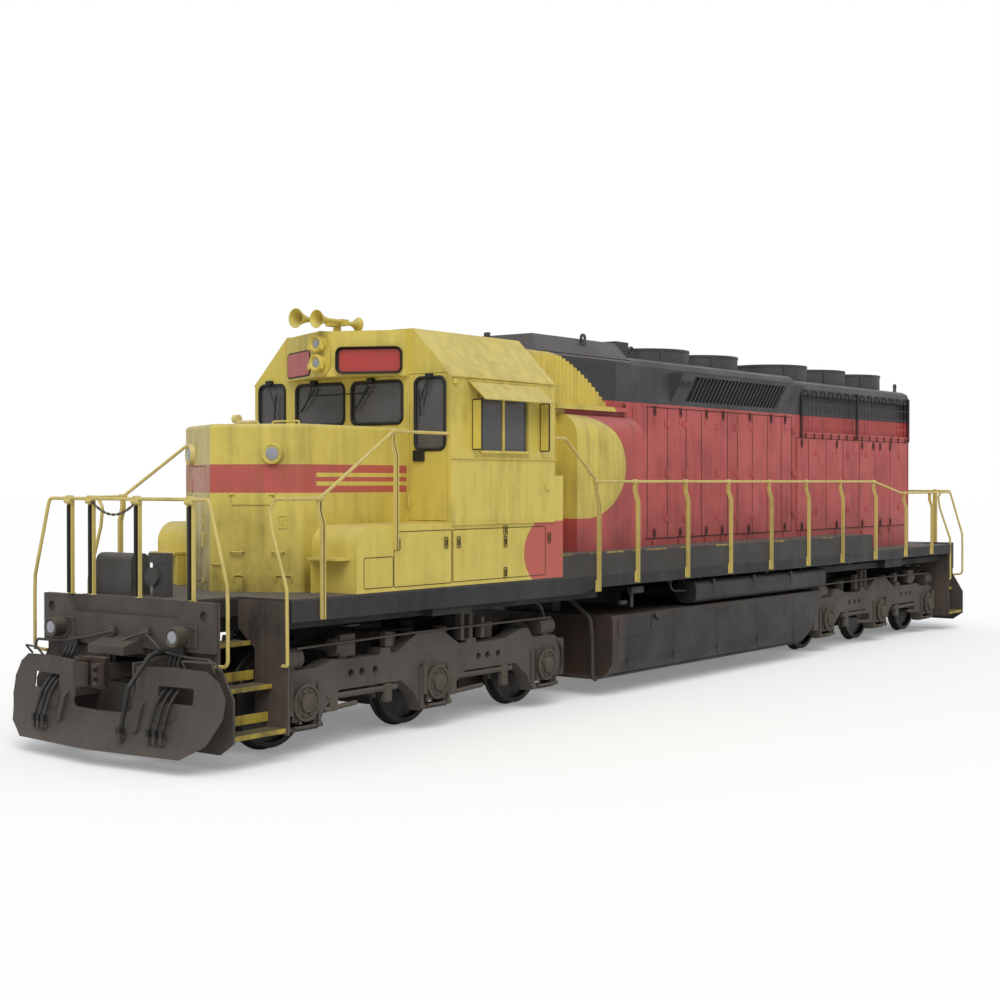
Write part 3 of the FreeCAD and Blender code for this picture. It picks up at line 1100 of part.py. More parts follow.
# Running gear of a truck: journal boxes with round covers, tie bars, motors hung on the axles,
# brake cylinders, shoes and levers, and the springs over the boxes.
def gear_shapes():
    """Solids of one truck's gear, with the truck's middle at X zero and its outer end forward."""
    bore = d.axle_radius + d.running_gap
    solids = []
    for axle in (-d.axle_pitch, 0, d.axle_pitch):
        for way in (-1, 1):
            near, far = way * 1005, way * 1262
            low, high = min(near, far), max(near, far)
            casing = block((axle - JAW, axle + JAW), (low, high), (axle_z - 190, JAW_TOP))
            cover = rod(150, (axle, far, axle_z), (axle, way * 1300, axle_z))
            boss = rod(95, (axle, way * 1300, axle_z), (axle, way * 1330, axle_z))
            hollow = rod(d.journal_radius + d.seat_gap, (axle, way * 1000, axle_z),
                         (axle, way * 1190, axle_z))
            tie = block((axle - JAW - 90, axle + JAW + 90), sorted((way * 1075, way * 1205)),
                        (LEG - 45, LEG))
            damper = rod(34, (axle + 215, way * 1275, 420), (axle + 215, way * 1275, 760))
            solids.append(joined([casing, cover, boss]).cut(hollow))
            solids.append(tie)
            if way * axle == d.axle_pitch or axle == 0:
                bracket = block((axle + 195, axle + 235), sorted((way * d.frame_out, way * 1290)), (440, 480))
                solids.append(joined([damper, bracket]))
        inward = -1 if axle > 0 else 1
        if axle == 0:
            inward = -1
        ends = sorted((axle - inward * 230, axle + inward * 700))
        motor = block(ends, (-470, 470), (235, 770))
        reach = (620, 740) if axle == 0 else (620, 1010)
        hanger = block(sorted(axle + inward * place for place in reach), (-120, 120), (740, 800))
        motor = joined([motor, hanger]).cut(rod(bore, (axle, -500, axle_z), (axle, 500, axle_z)))
        solids.append(motor)
    # brake cylinder: place, height, radius, length forward, top of the side frame under it
    for place, height, radius, length, seat in ((2090, 975, 105, 300, 859.5), (-2350, 990, 105, 290, 880),
                                                (1330, 1040, 95, 260, 914.5)):
        for way in (-1, 1):
            y = way * 1140
            middle = place + length / 2
            saddle = block((middle - 60, middle + 60), (y - 60, y + 60), (seat, height))
            barrel = rod(radius, (place, y, height), (place + length, y, height))
            solids.append(joined([saddle, barrel]))
    # brake shoe: axle, side of it that the shoe stands on
    for axle, side in ((d.axle_pitch, -1), (0, 1), (0, -1), (-d.axle_pitch, 1)):
        for way in (-1, 1):
            inner, outer = sorted((way * (d.wheel_back + 48), way * (d.wheel_back + d.rim_width - 5)))
            ring = Part.makeCylinder(d.wheel_radius + 75, outer - inner, Vector(axle, inner, axle_z), Vector(0, 1, 0))
            ring = ring.cut(Part.makeCylinder(d.wheel_radius + 14, outer - inner + 2, Vector(axle, inner - 1, axle_z),
                                              Vector(0, 1, 0)))
            face = axle + side * (d.wheel_radius + 45)
            window = block((face - 45, face + 45), (inner, outer), (370, 700))
            shoe = ring.common(window)
            arm_in, arm_out = sorted((way * (d.wheel_back + 80), way * d.frame_in))
            lever_x = axle + side * (d.wheel_radius + 70)
            lever = block((lever_x - 22, lever_x + 22), (arm_in, arm_in + 45) if way > 0 else (arm_out - 45, arm_out),
                          (420, 880))
            arm = block((lever_x - 22, lever_x + 22), (arm_in, arm_out), (840, 880))
            solids.append(joined([shoe, lever, arm]))
    return solids


gear = gear_shapes()
front_place = Placement(Vector(d.bolster_x, 0, 0), Rotation())
node("truck_gear_front", built("gear_front_shape", Part.makeCompound(gear), front_place))
rear_gear = Part.makeCompound([mirror_shape(shape, "x") for shape in gear])
rear_place = Placement(Vector(-d.bolster_x, 0, 0), Rotation())
node("truck_gear_rear", built("gear_rear_shape", rear_gear, rear_place))

# --------------------------------------------------------------------------- couplers
# A shank on the draft gear pin, a head with its guard arm on the left, and a knuckle that swings on
# a pin at the right.
SHANK_HALF = 65
HEAD_BACK = 9740
HEAD_HALF_Z = 150
KNUCKLE_PIN = (9915, -105)
KNUCKLE_HALF_Z = 112
KNUCKLE_ROOM_Z = 120


def coupler_shape():
    """The head with its shank, without the knuckle."""
    z = d.coupler_z
    tail = rod(105, (d.coupler_pin, 0, z - 75), (d.coupler_pin, 0, z + 75))
    shank = block((d.coupler_pin, HEAD_BACK + 20), (-SHANK_HALF, SHANK_HALF), (z - 75, z + 75))
    head = slab(((HEAD_BACK, -70), (HEAD_BACK + 55, -150), (HEAD_BACK + 120, -170), (KNUCKLE_PIN[0] + 10, -170),
                 (KNUCKLE_PIN[0] + 55, -130), (KNUCKLE_PIN[0] + 50, -60), (9850, -20), (9842, 90),
                 (9910, 128), (9985, 150), (9985, 215), (9900, 222), (HEAD_BACK + 60, 165), (HEAD_BACK, 70)),
                "z", z - HEAD_HALF_Z, z + HEAD_HALF_Z)
    arm_top = block((9870, 10030), (95, 240), (z + 105, z + HEAD_HALF_Z + 5))
    arm_low = block((9870, 10030), (95, 240), (z - HEAD_HALF_Z - 5, z - 105))
    room = slab(((9855, -30), (9850, -200), (10100, -200), (10100, 90), (9868, 85)), "z",
                z - KNUCKLE_ROOM_Z, z + KNUCKLE_ROOM_Z)
    holes = [block((9950, 10000), (165, 230), (z + low, z + low + 45)) for low in (-65, 25)]
    pin = rod(20, (*KNUCKLE_PIN, z - HEAD_HALF_Z - 20), (*KNUCKLE_PIN, z + HEAD_HALF_Z + 20))
    bore = rod(45, (d.coupler_pin, 0, z - 90), (d.coupler_pin, 0, z + 90))
    body = joined([tail, shank, head]).cut(joined([arm_top, arm_low])).cut(room).cut(bore)
    for hole in holes:
        body = body.cut(hole)
    return joined([body, pin])


def knuckle_shape():
    """The knuckle: a hooked jaw from the pin round to the pulling face."""
    z = d.coupler_z
    jaw = slab(((9872, -105), (9890, -150), (9935, -165), (9985, -148), (10012, -105), (d.pull_face, 20), (10000, 62),
                (9970, 70), (9950, 55), (9948, -10), (9925, -45), (9885, -60)), "z", z - KNUCKLE_ROOM_Z + d.seat_gap,
               z + KNUCKLE_HALF_Z)
    return jaw.cut(rod(24, (*KNUCKLE_PIN, z - 130), (*KNUCKLE_PIN, z + 130)))


half_turn = Placement(Vector(), Rotation(Vector(0, 0, 1), 180))
node("coupler_front", built("coupler_front_shape", coupler_shape()))
node("knuckle_front", built("knuckle_front_shape", knuckle_shape()))
node("coupler_rear", built("coupler_rear_shape", coupler_shape(), half_turn))
node("knuckle_rear", built("knuckle_rear_shape", knuckle_shape(), half_turn))

# --------------------------------------------------------------------------- handrails
# Side rails on stanchions that stand against the sill and crank in at the top.
# stanchion: place, foot, top
STANCHIONS = ((3217, 1395, 2775), (2297, 1465, 2775), (1007, 1465, 2775), (-203, 1465, 2775),
              (-1453, 1465, 2775), (-2703, 1465, 2775), (-3943, 1465, 2775), (-5243, 1465, 2775),
              (-6523, 1465, 2575), (-7703, 1465, 2575))
FRONT_POSTS = ((8230, 1395, 2605), (7107, 2055, 3305))
CRANK = 45
POST = (26, 18)
GROOVE = (12, 24)
GRAB_X = d.step_x + 42


def stanchion(x, foot, top, y=None):
    """A channel post against the sill, open outwards, cranked inboard under the rail that it holds."""
    face = d.half_width if y is None else y
    inner = face - CRANK
    outline = ((face, foot), (face + 2 * POST[1], foot), (face + 2 * POST[1], top - 260), (inner + 2 * POST[1], top - 120),
               (inner + 2 * POST[1], top), (inner, top), (inner, top - 130), (face, top - 270))
    bed = face + 2 * POST[1] - GROOVE[1]
    crank_bed = inner + 2 * POST[1] - GROOVE[1]
    groove = ((bed, foot - 1), (face + 2 * POST[1] + 1, foot - 1), (face + 2 * POST[1] + 1, top - 260),
              (inner + 2 * POST[1] + 1, top - 120), (inner + 2 * POST[1] + 1, top - 30), (crank_bed, top - 30),
              (crank_bed, top - 125), (bed, top - 265))
    return slab(outline, "x", x - POST[0], x + POST[0]).cut(slab(groove, "x", x - GROOVE[0], x + GROOVE[0]))


def side_rails():
    """The left side's rails and stanchions, from the front steps to the rear end."""
    y = d.rail_y + 5
    end = GRAB_X - d.rail_tube - d.seat_gap
    front_rail = tube(d.rail_tube, ((end, y, 2600), (8230, y, 2605), (7107, y, 3305), (6260, y, 3305),
                                    (6195, d.half_width - 10, 3305)), 120)
    long_rail = tube(d.rail_tube, ((4145, d.half_width - 20, 3300), (4090, y, 3300), (3900, y, 3300),
                                   (3190, y, 2775), (-5250, y, 2775), (-6420, y, 2575), (-end, y, 2575)), 120)
    return [joined([front_rail] + [stanchion(*row) for row in FRONT_POSTS]),
            joined([long_rail] + [stanchion(*row) for row in STANCHIONS])]


left_rails = side_rails()
side_shapes = left_rails + [mirror_shape(shape, "y") for shape in left_rails]
node("handrails_side", built("side_rail_shape", Part.makeCompound(side_shapes)))

# End rails: a rail across each end on four channel posts, curving down to a hook at the end plate,
# with an inner grab beside each step well and a chain across the gangway.
END_RAIL_X = 9440
END_POSTS = (-900, -560, 150, 930)
CHAIN_POSTS = (-560, 150)
# inner grab: place across, height
GRAB = ((1455, 962), (1512, 962), (1505, 1713), (1302, 2295), (1275, 2490), (1345, 2600), (1505, 2600))


def end_rails():
    """The front end's rails."""
    x = END_RAIL_X
    z = d.rail_low
    route = ((d.end_x + 25, -1285, 1010), (x, -1462, 1020), (x, -1462, 1600), (x, -1455, 1790), (x, -1210, z),
             (x, 1210, z), (x, 1455, 1790), (x, 1462, 1600), (x, 1462, 1020), (d.end_x + 25, 1285, 1010))
    pieces = [tube(d.rail_tube, route, 70)]
    foot_low = d.end_x - d.end_plate
    for y in END_POSTS:
        pieces.append(block((foot_low + 8, x - 24), (y - 38, y + 38), (d.deck_top, d.deck_top + 14)))
        pieces.append(block((x - 48, x - 34), (y - 38, y + 38), (d.deck_top, z)))
        pieces.append(block((x - 36, x - 8), (y - 38, y - 24), (d.deck_top + 10, z)))
        pieces.append(block((x - 36, x - 8), (y + 24, y + 38), (d.deck_top + 10, z)))
        pieces.append(rod(32, (x - 50, y, z), (x + 24, y, z)))
    shapes = [joined(pieces)]
    for way in (-1, 1):
        grab = tube(d.rail_tube, [(GRAB_X, way * y, height) for y, height in GRAB], 60)
        lug = block((d.step_x + 20, GRAB_X + 15), sorted((way * 1440, way * 1468)), (950, 974))
        shapes.append(joined([grab, lug]))
    return shapes


def chain(x, start, end, sag, links):
    """A hanging chain of plain oval links, alternate ones turned on edge."""
    solids = []
    span = end - start
    wire = 5
    for number in range(links):
        along_y = start + span * (number + 0.5) / links
        drop = sag * (1 - ((along_y - start) / span * 2 - 1) ** 2)
        slope = math.degrees(math.atan(4 * sag / span * ((along_y - start) / span * 2 - 1)))
        length = span / links * 0.5 + wire
        link = Part.makeBox(2 * wire, 2 * length, 26, Vector(-wire, -length, -13)).cut(
            Part.makeBox(2 * wire + 2, 2 * length - 4 * wire, 26 - 4 * wire, Vector(-wire - 1, -length + 2 * wire, -13 + 2 * wire)))
        if number % 2:
            link.rotate(Vector(), Vector(0, 1, 0), 90)
        link.rotate(Vector(), Vector(1, 0, 0), slope)
        link.translate(Vector(x, along_y, d.rail_low - 40 - drop))
        solids.append(link)
    return solids


end_shapes = end_rails()
hung = chain(END_RAIL_X - 15, CHAIN_POSTS[0] + 30, CHAIN_POSTS[1] - 30, 120, 17)
all_ends = end_shapes + [Part.makeCompound(hung)]
all_ends += [mirror_shape(shape, "x") for shape in all_ends]
node("handrails_end", built("end_rail_shape", Part.makeCompound(all_ends)))

# Platform boxes: the round-topped locker and the hand brake stand on the front platform.
locker = rounded("locker", box("locker_block", (9000, 9250), (-700, -150), ("deck_top", 2040)), 90,
                 lambda edge: along(edge, "y") and edge.BoundBox.ZMin > 2000)
stand = box("brake_stand", (9110, 9190), (110, 320), ("deck_top", 2055))
stand_head = box("brake_stand_head", (9110, 9200), (55, 320), (1955, 2055))
drum = cylinder("brake_drum", 95, (9100, 125, 1815), "x", 130)
node("platform_boxes", group("Part::Compound", "platform_boxes_all", [locker, fuse("brake", [stand, stand_head, drum])]))

# Hoses: at each end the valve clusters on the band, three air hoses a side that pass through the
# plow's windows and hang with their coupling heads hooked up, and the brake pipe hose.
HOSE = 17
# hose: place at the valve, place at its coupling head
HOSES = ((740, 795), (800, 880), (860, 965))
HEAD_Z = (285, 360)
PIPE_Y = (620, 440)


def plow_face(y, z):
    """Where the plow's front face lies at a place across and a height."""
    share = (z - PLOW_BOTTOM) / (PLOW_TOP - PLOW_BOTTOM)
    return PLOW_TIP - PLOW_LEAN * share - 4 * PLOW_BELLY * share * (1 - share) - PLOW_SWEEP * abs(y)


def hose_shapes(plowed):
    """The left side's hoses at the front end, in front of the plow or of the plain end plate."""
    face = d.end_x + FACE
    manifold = block((face, face + 40), (690, 910), (1085, 1165))
    pieces = [manifold]
    for top, foot in HOSES:
        low = plow_face(foot - 20, HEAD_Z[0]) + 0.5 if plowed else face + 60
        route = [(face + 20, top, 1100), (face + 70, top, 1010), (face + 80, foot, 820)]
        if plowed:
            route += [(plow_face(foot, 735), foot, 735), (plow_face(foot, 640) + 55, foot, 645)]
        route.append((low + 25, foot, HEAD_Z[1] + 40))
        pieces.append(tube(HOSE, route, 60))
        pieces.append(block((low, low + 50), (foot - 20, foot + 20), (HEAD_Z[0], HEAD_Z[1] + 60)))
    hoses = joined(pieces)
    cock = rod(38, (face, PIPE_Y[0], 1120), (face + 120, PIPE_Y[0], 1120))
    out = plow_face(PIPE_Y[1], HEAD_Z[0]) + 30 if plowed else face + 90
    pipe = tube(24, ((face + 100, PIPE_Y[0], 1120), (face + 215, PIPE_Y[0], 1085), (out + 10, PIPE_Y[0] - 60, 800),
                     (out, PIPE_Y[1], HEAD_Z[1] + 20)), 70)
    head = block((out - 28, out + 40), (PIPE_Y[1] - 30, PIPE_Y[1] + 30), (HEAD_Z[0], HEAD_Z[1] + 50))
    return [hoses, joined([cock, pipe, head])]


front_hoses = hose_shapes(True)
rear_hoses = [mirror_shape(mirror_shape(shape, "x"), "y") for shape in hose_shapes(False)]
hose_sets = front_hoses + [mirror_shape(front_hoses[0], "y")]
hose_sets += rear_hoses + [mirror_shape(rear_hoses[0], "y")]
node("end_hoses", built("hose_shape", Part.makeCompound(hose_sets)))

# --------------------------------------------------------------------------- checks and files
doc.recompute()
for item in doc.Objects:
    if "Invalid" in item.State or "Error" in item.State:
        raise RuntimeError(f"{item.Name} did not rebuild: {item.State}")
os.makedirs("parts", exist_ok=True)
for solid in NODES:
    if solid.Shape.isNull() or not solid.Shape.isValid():
        raise RuntimeError(f"{solid.Label} is not a valid shape")
    solid.Shape.exportStep(f"parts/{solid.Label}.step")
print(len(NODES), "pieces written")
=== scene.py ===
"""Looks of a six-axle road-switcher diesel locomotive, in metres: +X forward, +Y left, +Z up."""
import bpy
import math
from mathutils import Matrix, Vector


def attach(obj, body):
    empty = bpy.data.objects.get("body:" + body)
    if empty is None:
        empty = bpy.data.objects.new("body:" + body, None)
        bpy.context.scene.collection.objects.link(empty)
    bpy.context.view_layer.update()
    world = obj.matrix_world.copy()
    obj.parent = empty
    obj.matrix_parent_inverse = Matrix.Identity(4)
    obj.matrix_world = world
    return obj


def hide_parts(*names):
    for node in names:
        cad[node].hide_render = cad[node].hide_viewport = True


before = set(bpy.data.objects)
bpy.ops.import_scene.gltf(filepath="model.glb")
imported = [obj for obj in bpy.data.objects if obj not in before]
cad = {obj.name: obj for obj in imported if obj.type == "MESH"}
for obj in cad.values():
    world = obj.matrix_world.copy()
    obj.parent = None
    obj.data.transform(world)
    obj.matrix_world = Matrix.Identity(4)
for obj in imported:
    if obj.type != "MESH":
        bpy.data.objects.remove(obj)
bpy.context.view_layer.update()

# --------------------------------------------------------------------------- floor, light and camera
# A pale studio floor that keeps the locomotive's soft shadow, and a white surround.  A broad lamp
# over the left front and the even light of the surround light it as a bright overcast sky does.


def linear(code):
    """A colour written as an sRGB hex code, as linear red, green, blue and alpha."""
    parts = [int(code[start:start + 2], 16) / 255 for start in (1, 3, 5)]
    light = [part / 12.92 if part <= 0.04045 else ((part + 0.055) / 1.055) ** 2.4 for part in parts]
    return (*light, 1.0)


def add(tree, kind, links=(), **settings):
    """Add a shader node; links are pairs of a socket and its value or the output that feeds it."""
    shader = tree.nodes.new("ShaderNode" + kind)
    for name, value in settings.items():
        setattr(shader, name, value)
    for socket, value in links:
        if isinstance(value, bpy.types.NodeSocket):
            tree.links.new(value, shader.inputs[socket])
        else:
            shader.inputs[socket].default_value = value
    return shader


world = bpy.data.worlds.new("studio_surround")
bpy.context.scene.world = world
world.use_nodes = True
sky = world.node_tree
sky.nodes.clear()
seen = add(sky, "LightPath").outputs
surround = add(sky, "Background", [("Color", (1, 1, 1, 1)), ("Strength", 1.0)])
fill = add(sky, "Background", [("Color", (0.93, 0.96, 1, 1)), ("Strength", 0.5)])
camera_or_glass = add(sky, "Math", [(0, seen["Is Camera Ray"]), (1, seen["Is Transmission Ray"])],
                      operation="MAXIMUM")
shining = add(sky, "Math", [(0, seen["Is Glossy Ray"]), (1, 0.45)], operation="MULTIPLY")
bright = add(sky, "Math", [(0, camera_or_glass.outputs[0]), (1, shining.outputs[0])], operation="MAXIMUM")
mixed_sky = add(sky, "MixShader", [(0, bright.outputs[0]), (1, fill.outputs[0]), (2, surround.outputs[0])])
add(sky, "OutputWorld", [("Surface", mixed_sky.outputs[0])])

bpy.ops.object.select_all(action="DESELECT")
bpy.ops.mesh.primitive_plane_add(size=400, location=(0, 0, -0.002))
floor = bpy.context.object
floor.name = "studio_floor"
floor_paint = bpy.data.materials.new("floor_paint")
floor_paint.use_nodes = True
tree = floor_paint.node_tree
tree.nodes.clear()
seen = add(tree, "LightPath").outputs
matt = add(tree, "BsdfDiffuse", [("Color", linear("#f0f0f0"))])
glow = add(tree, "Emission", [("Color", (1, 1, 1, 1)), ("Strength", 0.22)])
lifted = add(tree, "AddShader", [(0, matt.outputs[0]), (1, glow.outputs[0])])
shown = add(tree, "MixShader", [(0, seen["Is Camera Ray"]), (1, matt.outputs[0]), (2, lifted.outputs[0])])
add(tree, "OutputMaterial", [("Surface", shown.outputs[0])])
floor.data.materials.append(floor_paint)

KEY_FROM = Vector((0.62, 0.60, 0.88))
bpy.ops.object.light_add(type="SUN", location=(15, 15, 20),
                         rotation=KEY_FROM.to_track_quat("Z", "Y").to_euler())
key = bpy.context.object.data
key.energy = 1.85
key.angle = math.radians(42)
key.color = (1.0, 0.975, 0.93)

# the camera's place, and the way it looks: turned from +X, and tilted from level
EYE = (19.773, 12.447, 2.769)
HEADING = math.radians(-143.048)
PITCH = math.radians(-0.656)
bpy.ops.object.camera_add(location=EYE)
camera = bpy.context.object
looking = Vector((math.cos(HEADING) * math.cos(PITCH),
                  math.sin(HEADING) * math.cos(PITCH), math.sin(PITCH)))
camera.rotation_euler = looking.to_track_quat("-Z", "Y").to_euler()
camera.data.lens = 56.79
camera.data.sensor_width = 36
camera.data.clip_end = 500
bpy.context.scene.camera = camera
bpy.context.scene.view_settings.view_transform = "Standard"

# --------------------------------------------------------------------------- hood, cab and nose enamel
# Sheet steel sprayed with alkyd enamel: yellow nose, cab and boxes, red hood sides, dark grey top.
# Years outdoors have dulled it: streaks of soot run down and dust lies on flat tops.  Everything
# grows darker, in blotches, towards the deck.
YELLOW = linear("#d2be55")
RED = linear("#b84c47")
GREY = linear("#303134")
BAND_Z = (2.655, 2.955)
PINSTRIPE_X = 7.63
TOP_COAT_Z = 3.855


def worn(name, colours, soot="#5a4a08", dust="#d2c9a6", soiled=0.5, dusted=0.4, rough=0.5, low_darkening=0.5,
         metal=0.0):
    """A weathered coat over the colour that colours(tree, x, y, z) returns: soiled and dusted are how much
    soot and settled dust it carries, and the strength after rough is how much darker it grows towards the
    deck."""
    coat = bpy.data.materials.new(name)
    coat.use_nodes = True
    tree = coat.node_tree
    tree.nodes.clear()
    place = add(tree, "TexCoord").outputs["Object"]
    x, y, z = add(tree, "SeparateXYZ", [(0, place)]).outputs
    clean = colours(tree, x, y, z)
    # blotches 0.6 m across, soot runs 0.1 m wide and over a metre long, specks of 18 mm and finer
    blotch = add(tree, "TexNoise", [("Vector", place), ("Scale", 1.6), ("Detail", 6.0),
                                    ("Roughness", 0.62)]).outputs[0]
    long_way = add(tree, "Mapping", [("Vector", place), ("Scale", (5.0, 5.0, 0.55))])
    streak = add(tree, "TexNoise", [("Vector", long_way.outputs[0]), ("Scale", 1.7),
                                    ("Detail", 5.0)]).outputs[0]
    speck = add(tree, "TexNoise", [("Vector", place), ("Scale", 55.0), ("Detail", 3.0),
                                   ("Roughness", 0.65)]).outputs[0]
    soil = add(tree, "Math", [(0, blotch), (1, streak)], operation="MULTIPLY").outputs[0]
    runs = add(tree, "MapRange", [("Value", soil), ("From Min", 0.2), ("From Max", 0.42),
                                  ("To Max", soiled)]).outputs[0]
    # darker towards the deck, in blotches: mixed towards the soot colour below 2.55 m
    low = add(tree, "MapRange", [("Value", z), ("From Min", 2.55), ("From Max", 1.55),
                                 ("To Max", low_darkening)]).outputs[0]
    low_patches = add(tree, "Math", [(0, low), (1, blotch)], operation="MULTIPLY").outputs[0]
    darkening_mask = add(tree, "Math", [(0, runs), (1, low_patches)], use_clamp=True).outputs[0]
    darker_colour = add(tree, "MixRGB", [("Fac", darkening_mask), ("Color1", clean), ("Color2", linear(soot))]).outputs[0]
    up = add(tree, "SeparateXYZ", [(0, add(tree, "NewGeometry").outputs["Normal"])]).outputs["Z"]
    lying = add(tree, "MapRange", [("Value", up), ("From Min", 0.2), ("From Max", 0.95),
                                   ("To Min", 0.14 * dusted), ("To Max", dusted)]).outputs[0]
    patchy = add(tree, "MapRange", [("Value", speck), ("From Min", 0.25), ("From Max", 0.7),
                                    ("To Min", 0.3)]).outputs[0]
    dusting = add(tree, "Math", [(0, lying), (1, patchy)], operation="MULTIPLY").outputs[0]
    dusty = add(tree, "MixRGB", [("Fac", dusting), ("Color1", darker_colour), ("Color2", linear(dust))]).outputs[0]
    dull = add(tree, "MapRange", [("Value", blotch), ("From Min", 0.3), ("From Max", 0.7),
                                  ("To Min", rough - 0.1), ("To Max", rough + 0.18)]).outputs[0]
    grain = add(tree, "Bump", [("Height", speck), ("Distance", 0.0008), ("Strength", 0.3)]).outputs[0]
    dents = add(tree, "Bump", [("Height", blotch), ("Distance", 0.012), ("Strength", 0.12),
                               ("Normal", grain)]).outputs[0]
    shell = add(tree, "BsdfPrincipled", [("Base Color", dusty), ("Roughness", dull), ("Normal", dents),
                                         ("Metallic", metal)])
    add(tree, "OutputMaterial", [("Surface", shell.outputs[0])])
    return coat


def dress(names, coat):
    """Give CAD nodes their finish."""
    for name in names:
        cad[name].data.materials.clear()
        cad[name].data.materials.append(coat)


def choose(tree, mask, base, over):
    """A base colour, with another over it where the mask is one."""
    return add(tree, "MixRGB", [("Fac", mask), ("Color1", base), ("Color2", over)]).outputs[0]


def only(code):
    """The colouring of a piece that is one colour all over."""
    return lambda tree, x, y, z: choose(tree, 0.5, linear(code), linear(code))


def test(tree, value, operation, limit, also=None):
    """A mask that is one where value is GREATER_THAN or LESS_THAN limit, and the mask also is one."""
    mask = add(tree, "Math", [(0, value), (1, limit)], operation=operation).outputs[0]
    if also is None:
        return mask
    return add(tree, "Math", [(0, mask), (1, also)], operation="MULTIPLY").outputs[0]


def either(tree, one, other):
    """A mask that is one where either mask is."""
    return add(tree, "Math", [(0, one), (1, other)], operation="MAXIMUM").outputs[0]


def round_lobe(tree, across, height, centre, radii):
    """One inside an ellipse drawn on the side."""
    squares = []
    for value, middle, radius in ((across, centre[0], radii[0]), (height, centre[1], radii[1])):
        off = add(tree, "Math", [(0, value), (1, middle)], operation="SUBTRACT").outputs[0]
        share = add(tree, "Math", [(0, off), (1, radius)], operation="DIVIDE").outputs[0]
        squares.append(add(tree, "Math", [(0, share), (1, share)], operation="MULTIPLY").outputs[0])
    total = add(tree, "Math", [(0, squares[0]), (1, squares[1])]).outputs[0]
    return test(tree, total, "LESS_THAN", 1.0)


def nose_colours(tree, x, y, z):
    """Yellow with a red band, which has two yellow pinstripes in its rear part; painted glare pales the right
    sheet.
    """
    band = test(tree, z, "GREATER_THAN", BAND_Z[0], test(tree, z, "LESS_THAN", BAND_Z[1]))
    line = None
    for middle in (2.752, 2.845):
        here = add(tree, "Math", [(0, z), (1, middle), (2, 0.022)], operation="COMPARE").outputs[0]
        line = here if line is None else either(tree, line, here)
    line = test(tree, x, "LESS_THAN", PINSTRIPE_X, line)
    fresh = choose(tree, line, choose(tree, band, YELLOW, RED), YELLOW)
    # painted glare: the right front sheet is washed towards pale beige, a painted reflection of the bright
    # surround
    painted_glare = test(tree, y, "LESS_THAN", -0.004, 0.35)
    return choose(tree, painted_glare, fresh, linear("#d8cfae"))


def box_colours(tree, x, y, z):
    """Yellow, with the hood's red bulging forward at the rear end, under the cab."""
    lobe = either(tree, round_lobe(tree, x, z, (4.2, 1.93), (0.59, 0.45)), test(tree, x, "LESS_THAN", 4.2))
    return choose(tree, test(tree, z, "LESS_THAN", 2.3, lobe), YELLOW, RED)


def hood_colours(tree, x, y, z):
    """Red sides with the cab's yellow bulging back over them, and the dark grey top."""
    lobe = round_lobe(tree, x, z, (3.1, 2.97), (0.98, 0.67))
    belly = either(tree, lobe, test(tree, x, "GREATER_THAN", 3.1))
    belly = test(tree, z, "GREATER_THAN", 2.305, test(tree, z, "LESS_THAN", 3.7, belly))
    crown = round_lobe(tree, x, z, (4.2085, 1.335), (3.186, 3.186))
    crown = test(tree, z, "GREATER_THAN", 3.7, test(tree, z, "LESS_THAN", 4.42, crown))
    side = choose(tree, either(tree, belly, crown), RED, YELLOW)
    not_crown = add(tree, "Math", [(0, 1.0), (1, crown)], operation="SUBTRACT").outputs[0]
    return choose(tree, test(tree, z, "GREATER_THAN", TOP_COAT_Z, not_crown), side, GREY)


def rail_colours(tree, x, y, z):
    """Yellow, apart from the bare chain across each end."""
    chain = test(tree, z, "LESS_THAN", 2.575, test(tree, z, "GREATER_THAN", 2.42))
    chain = test(tree, y, "LESS_THAN", 0.11, test(tree, y, "GREATER_THAN", -0.52, chain))
    return choose(tree, chain, linear("#cdb866"), linear("#4a443c"))


nose_enamel = worn("nose_enamel", nose_colours, soiled=0.4, low_darkening=1.1)
box_enamel = worn("box_enamel", box_colours, soot="#8a7528", soiled=0.25, low_darkening=0.15)
cab_enamel = worn("cab_enamel", only("#d2be55"), soiled=0.35, low_darkening=0.2)
hood_enamel = worn("hood_enamel", hood_colours, soot="#3c2a2b", dust="#a39a98", soiled=0.4, dusted=0.35,
                   low_darkening=0.45)
rail_enamel = worn("rail_enamel", rail_colours, soiled=0.35, low_darkening=0.15)
grey_enamel = worn("grey_enamel", only("#3a3c40"), soot="#1f1f1f", dust="#8f8e8c", dusted=0.35, low_darkening=0.2)
dress(["nose_hood", "nose_door"], nose_enamel)
dress(["cab_floor", "cab_front_wall", "cab_rear_wall", "cab_sides", "cab_roof", "cab_door_front",
       "cab_door_rear", "number_box", "horn"], cab_enamel)
dress(["equipment_boxes"], box_enamel)
dress(["handrails_side", "handrails_end"], rail_enamel)
dress(["blower_hood", "engine_hood", "radiator_hood"], hood_enamel)
dress(["brake_housing", "fan_shrouds", "engine_block"], grey_enamel)

# --------------------------------------------------------------------------- nose fittings
# Small steel fittings welded or bolted to the nose sheets and painted with them: the sand hatch with
# its two hinges, latches, grab irons and foot loops, a lifting bracket, and the lamps' bolted rims.
# The nose's crease, and the unit vectors along and out from its left front sheet:
NOSE_TIP = Vector((8.317, 0, 0))
FACET_ALONG = Vector((-0.4512, 0.8924, 0))
FACET_OUT = Vector((0.8924, 0.4512, 0))


def facet(along, out, height, way=1):
    """A place on the nose's left (1) or right (-1) front sheet, from the crease."""
    place = NOSE_TIP + FACET_ALONG * along + FACET_OUT * out
    return Vector((place.x, way * place.y, height))


def take(piece, *others):
    """Make a piece the active one, and select only it and the others."""
    bpy.ops.object.select_all(action="DESELECT")
    for chosen in (piece, *others):
        chosen.select_set(True)
    bpy.context.view_layer.objects.active = piece
    return piece


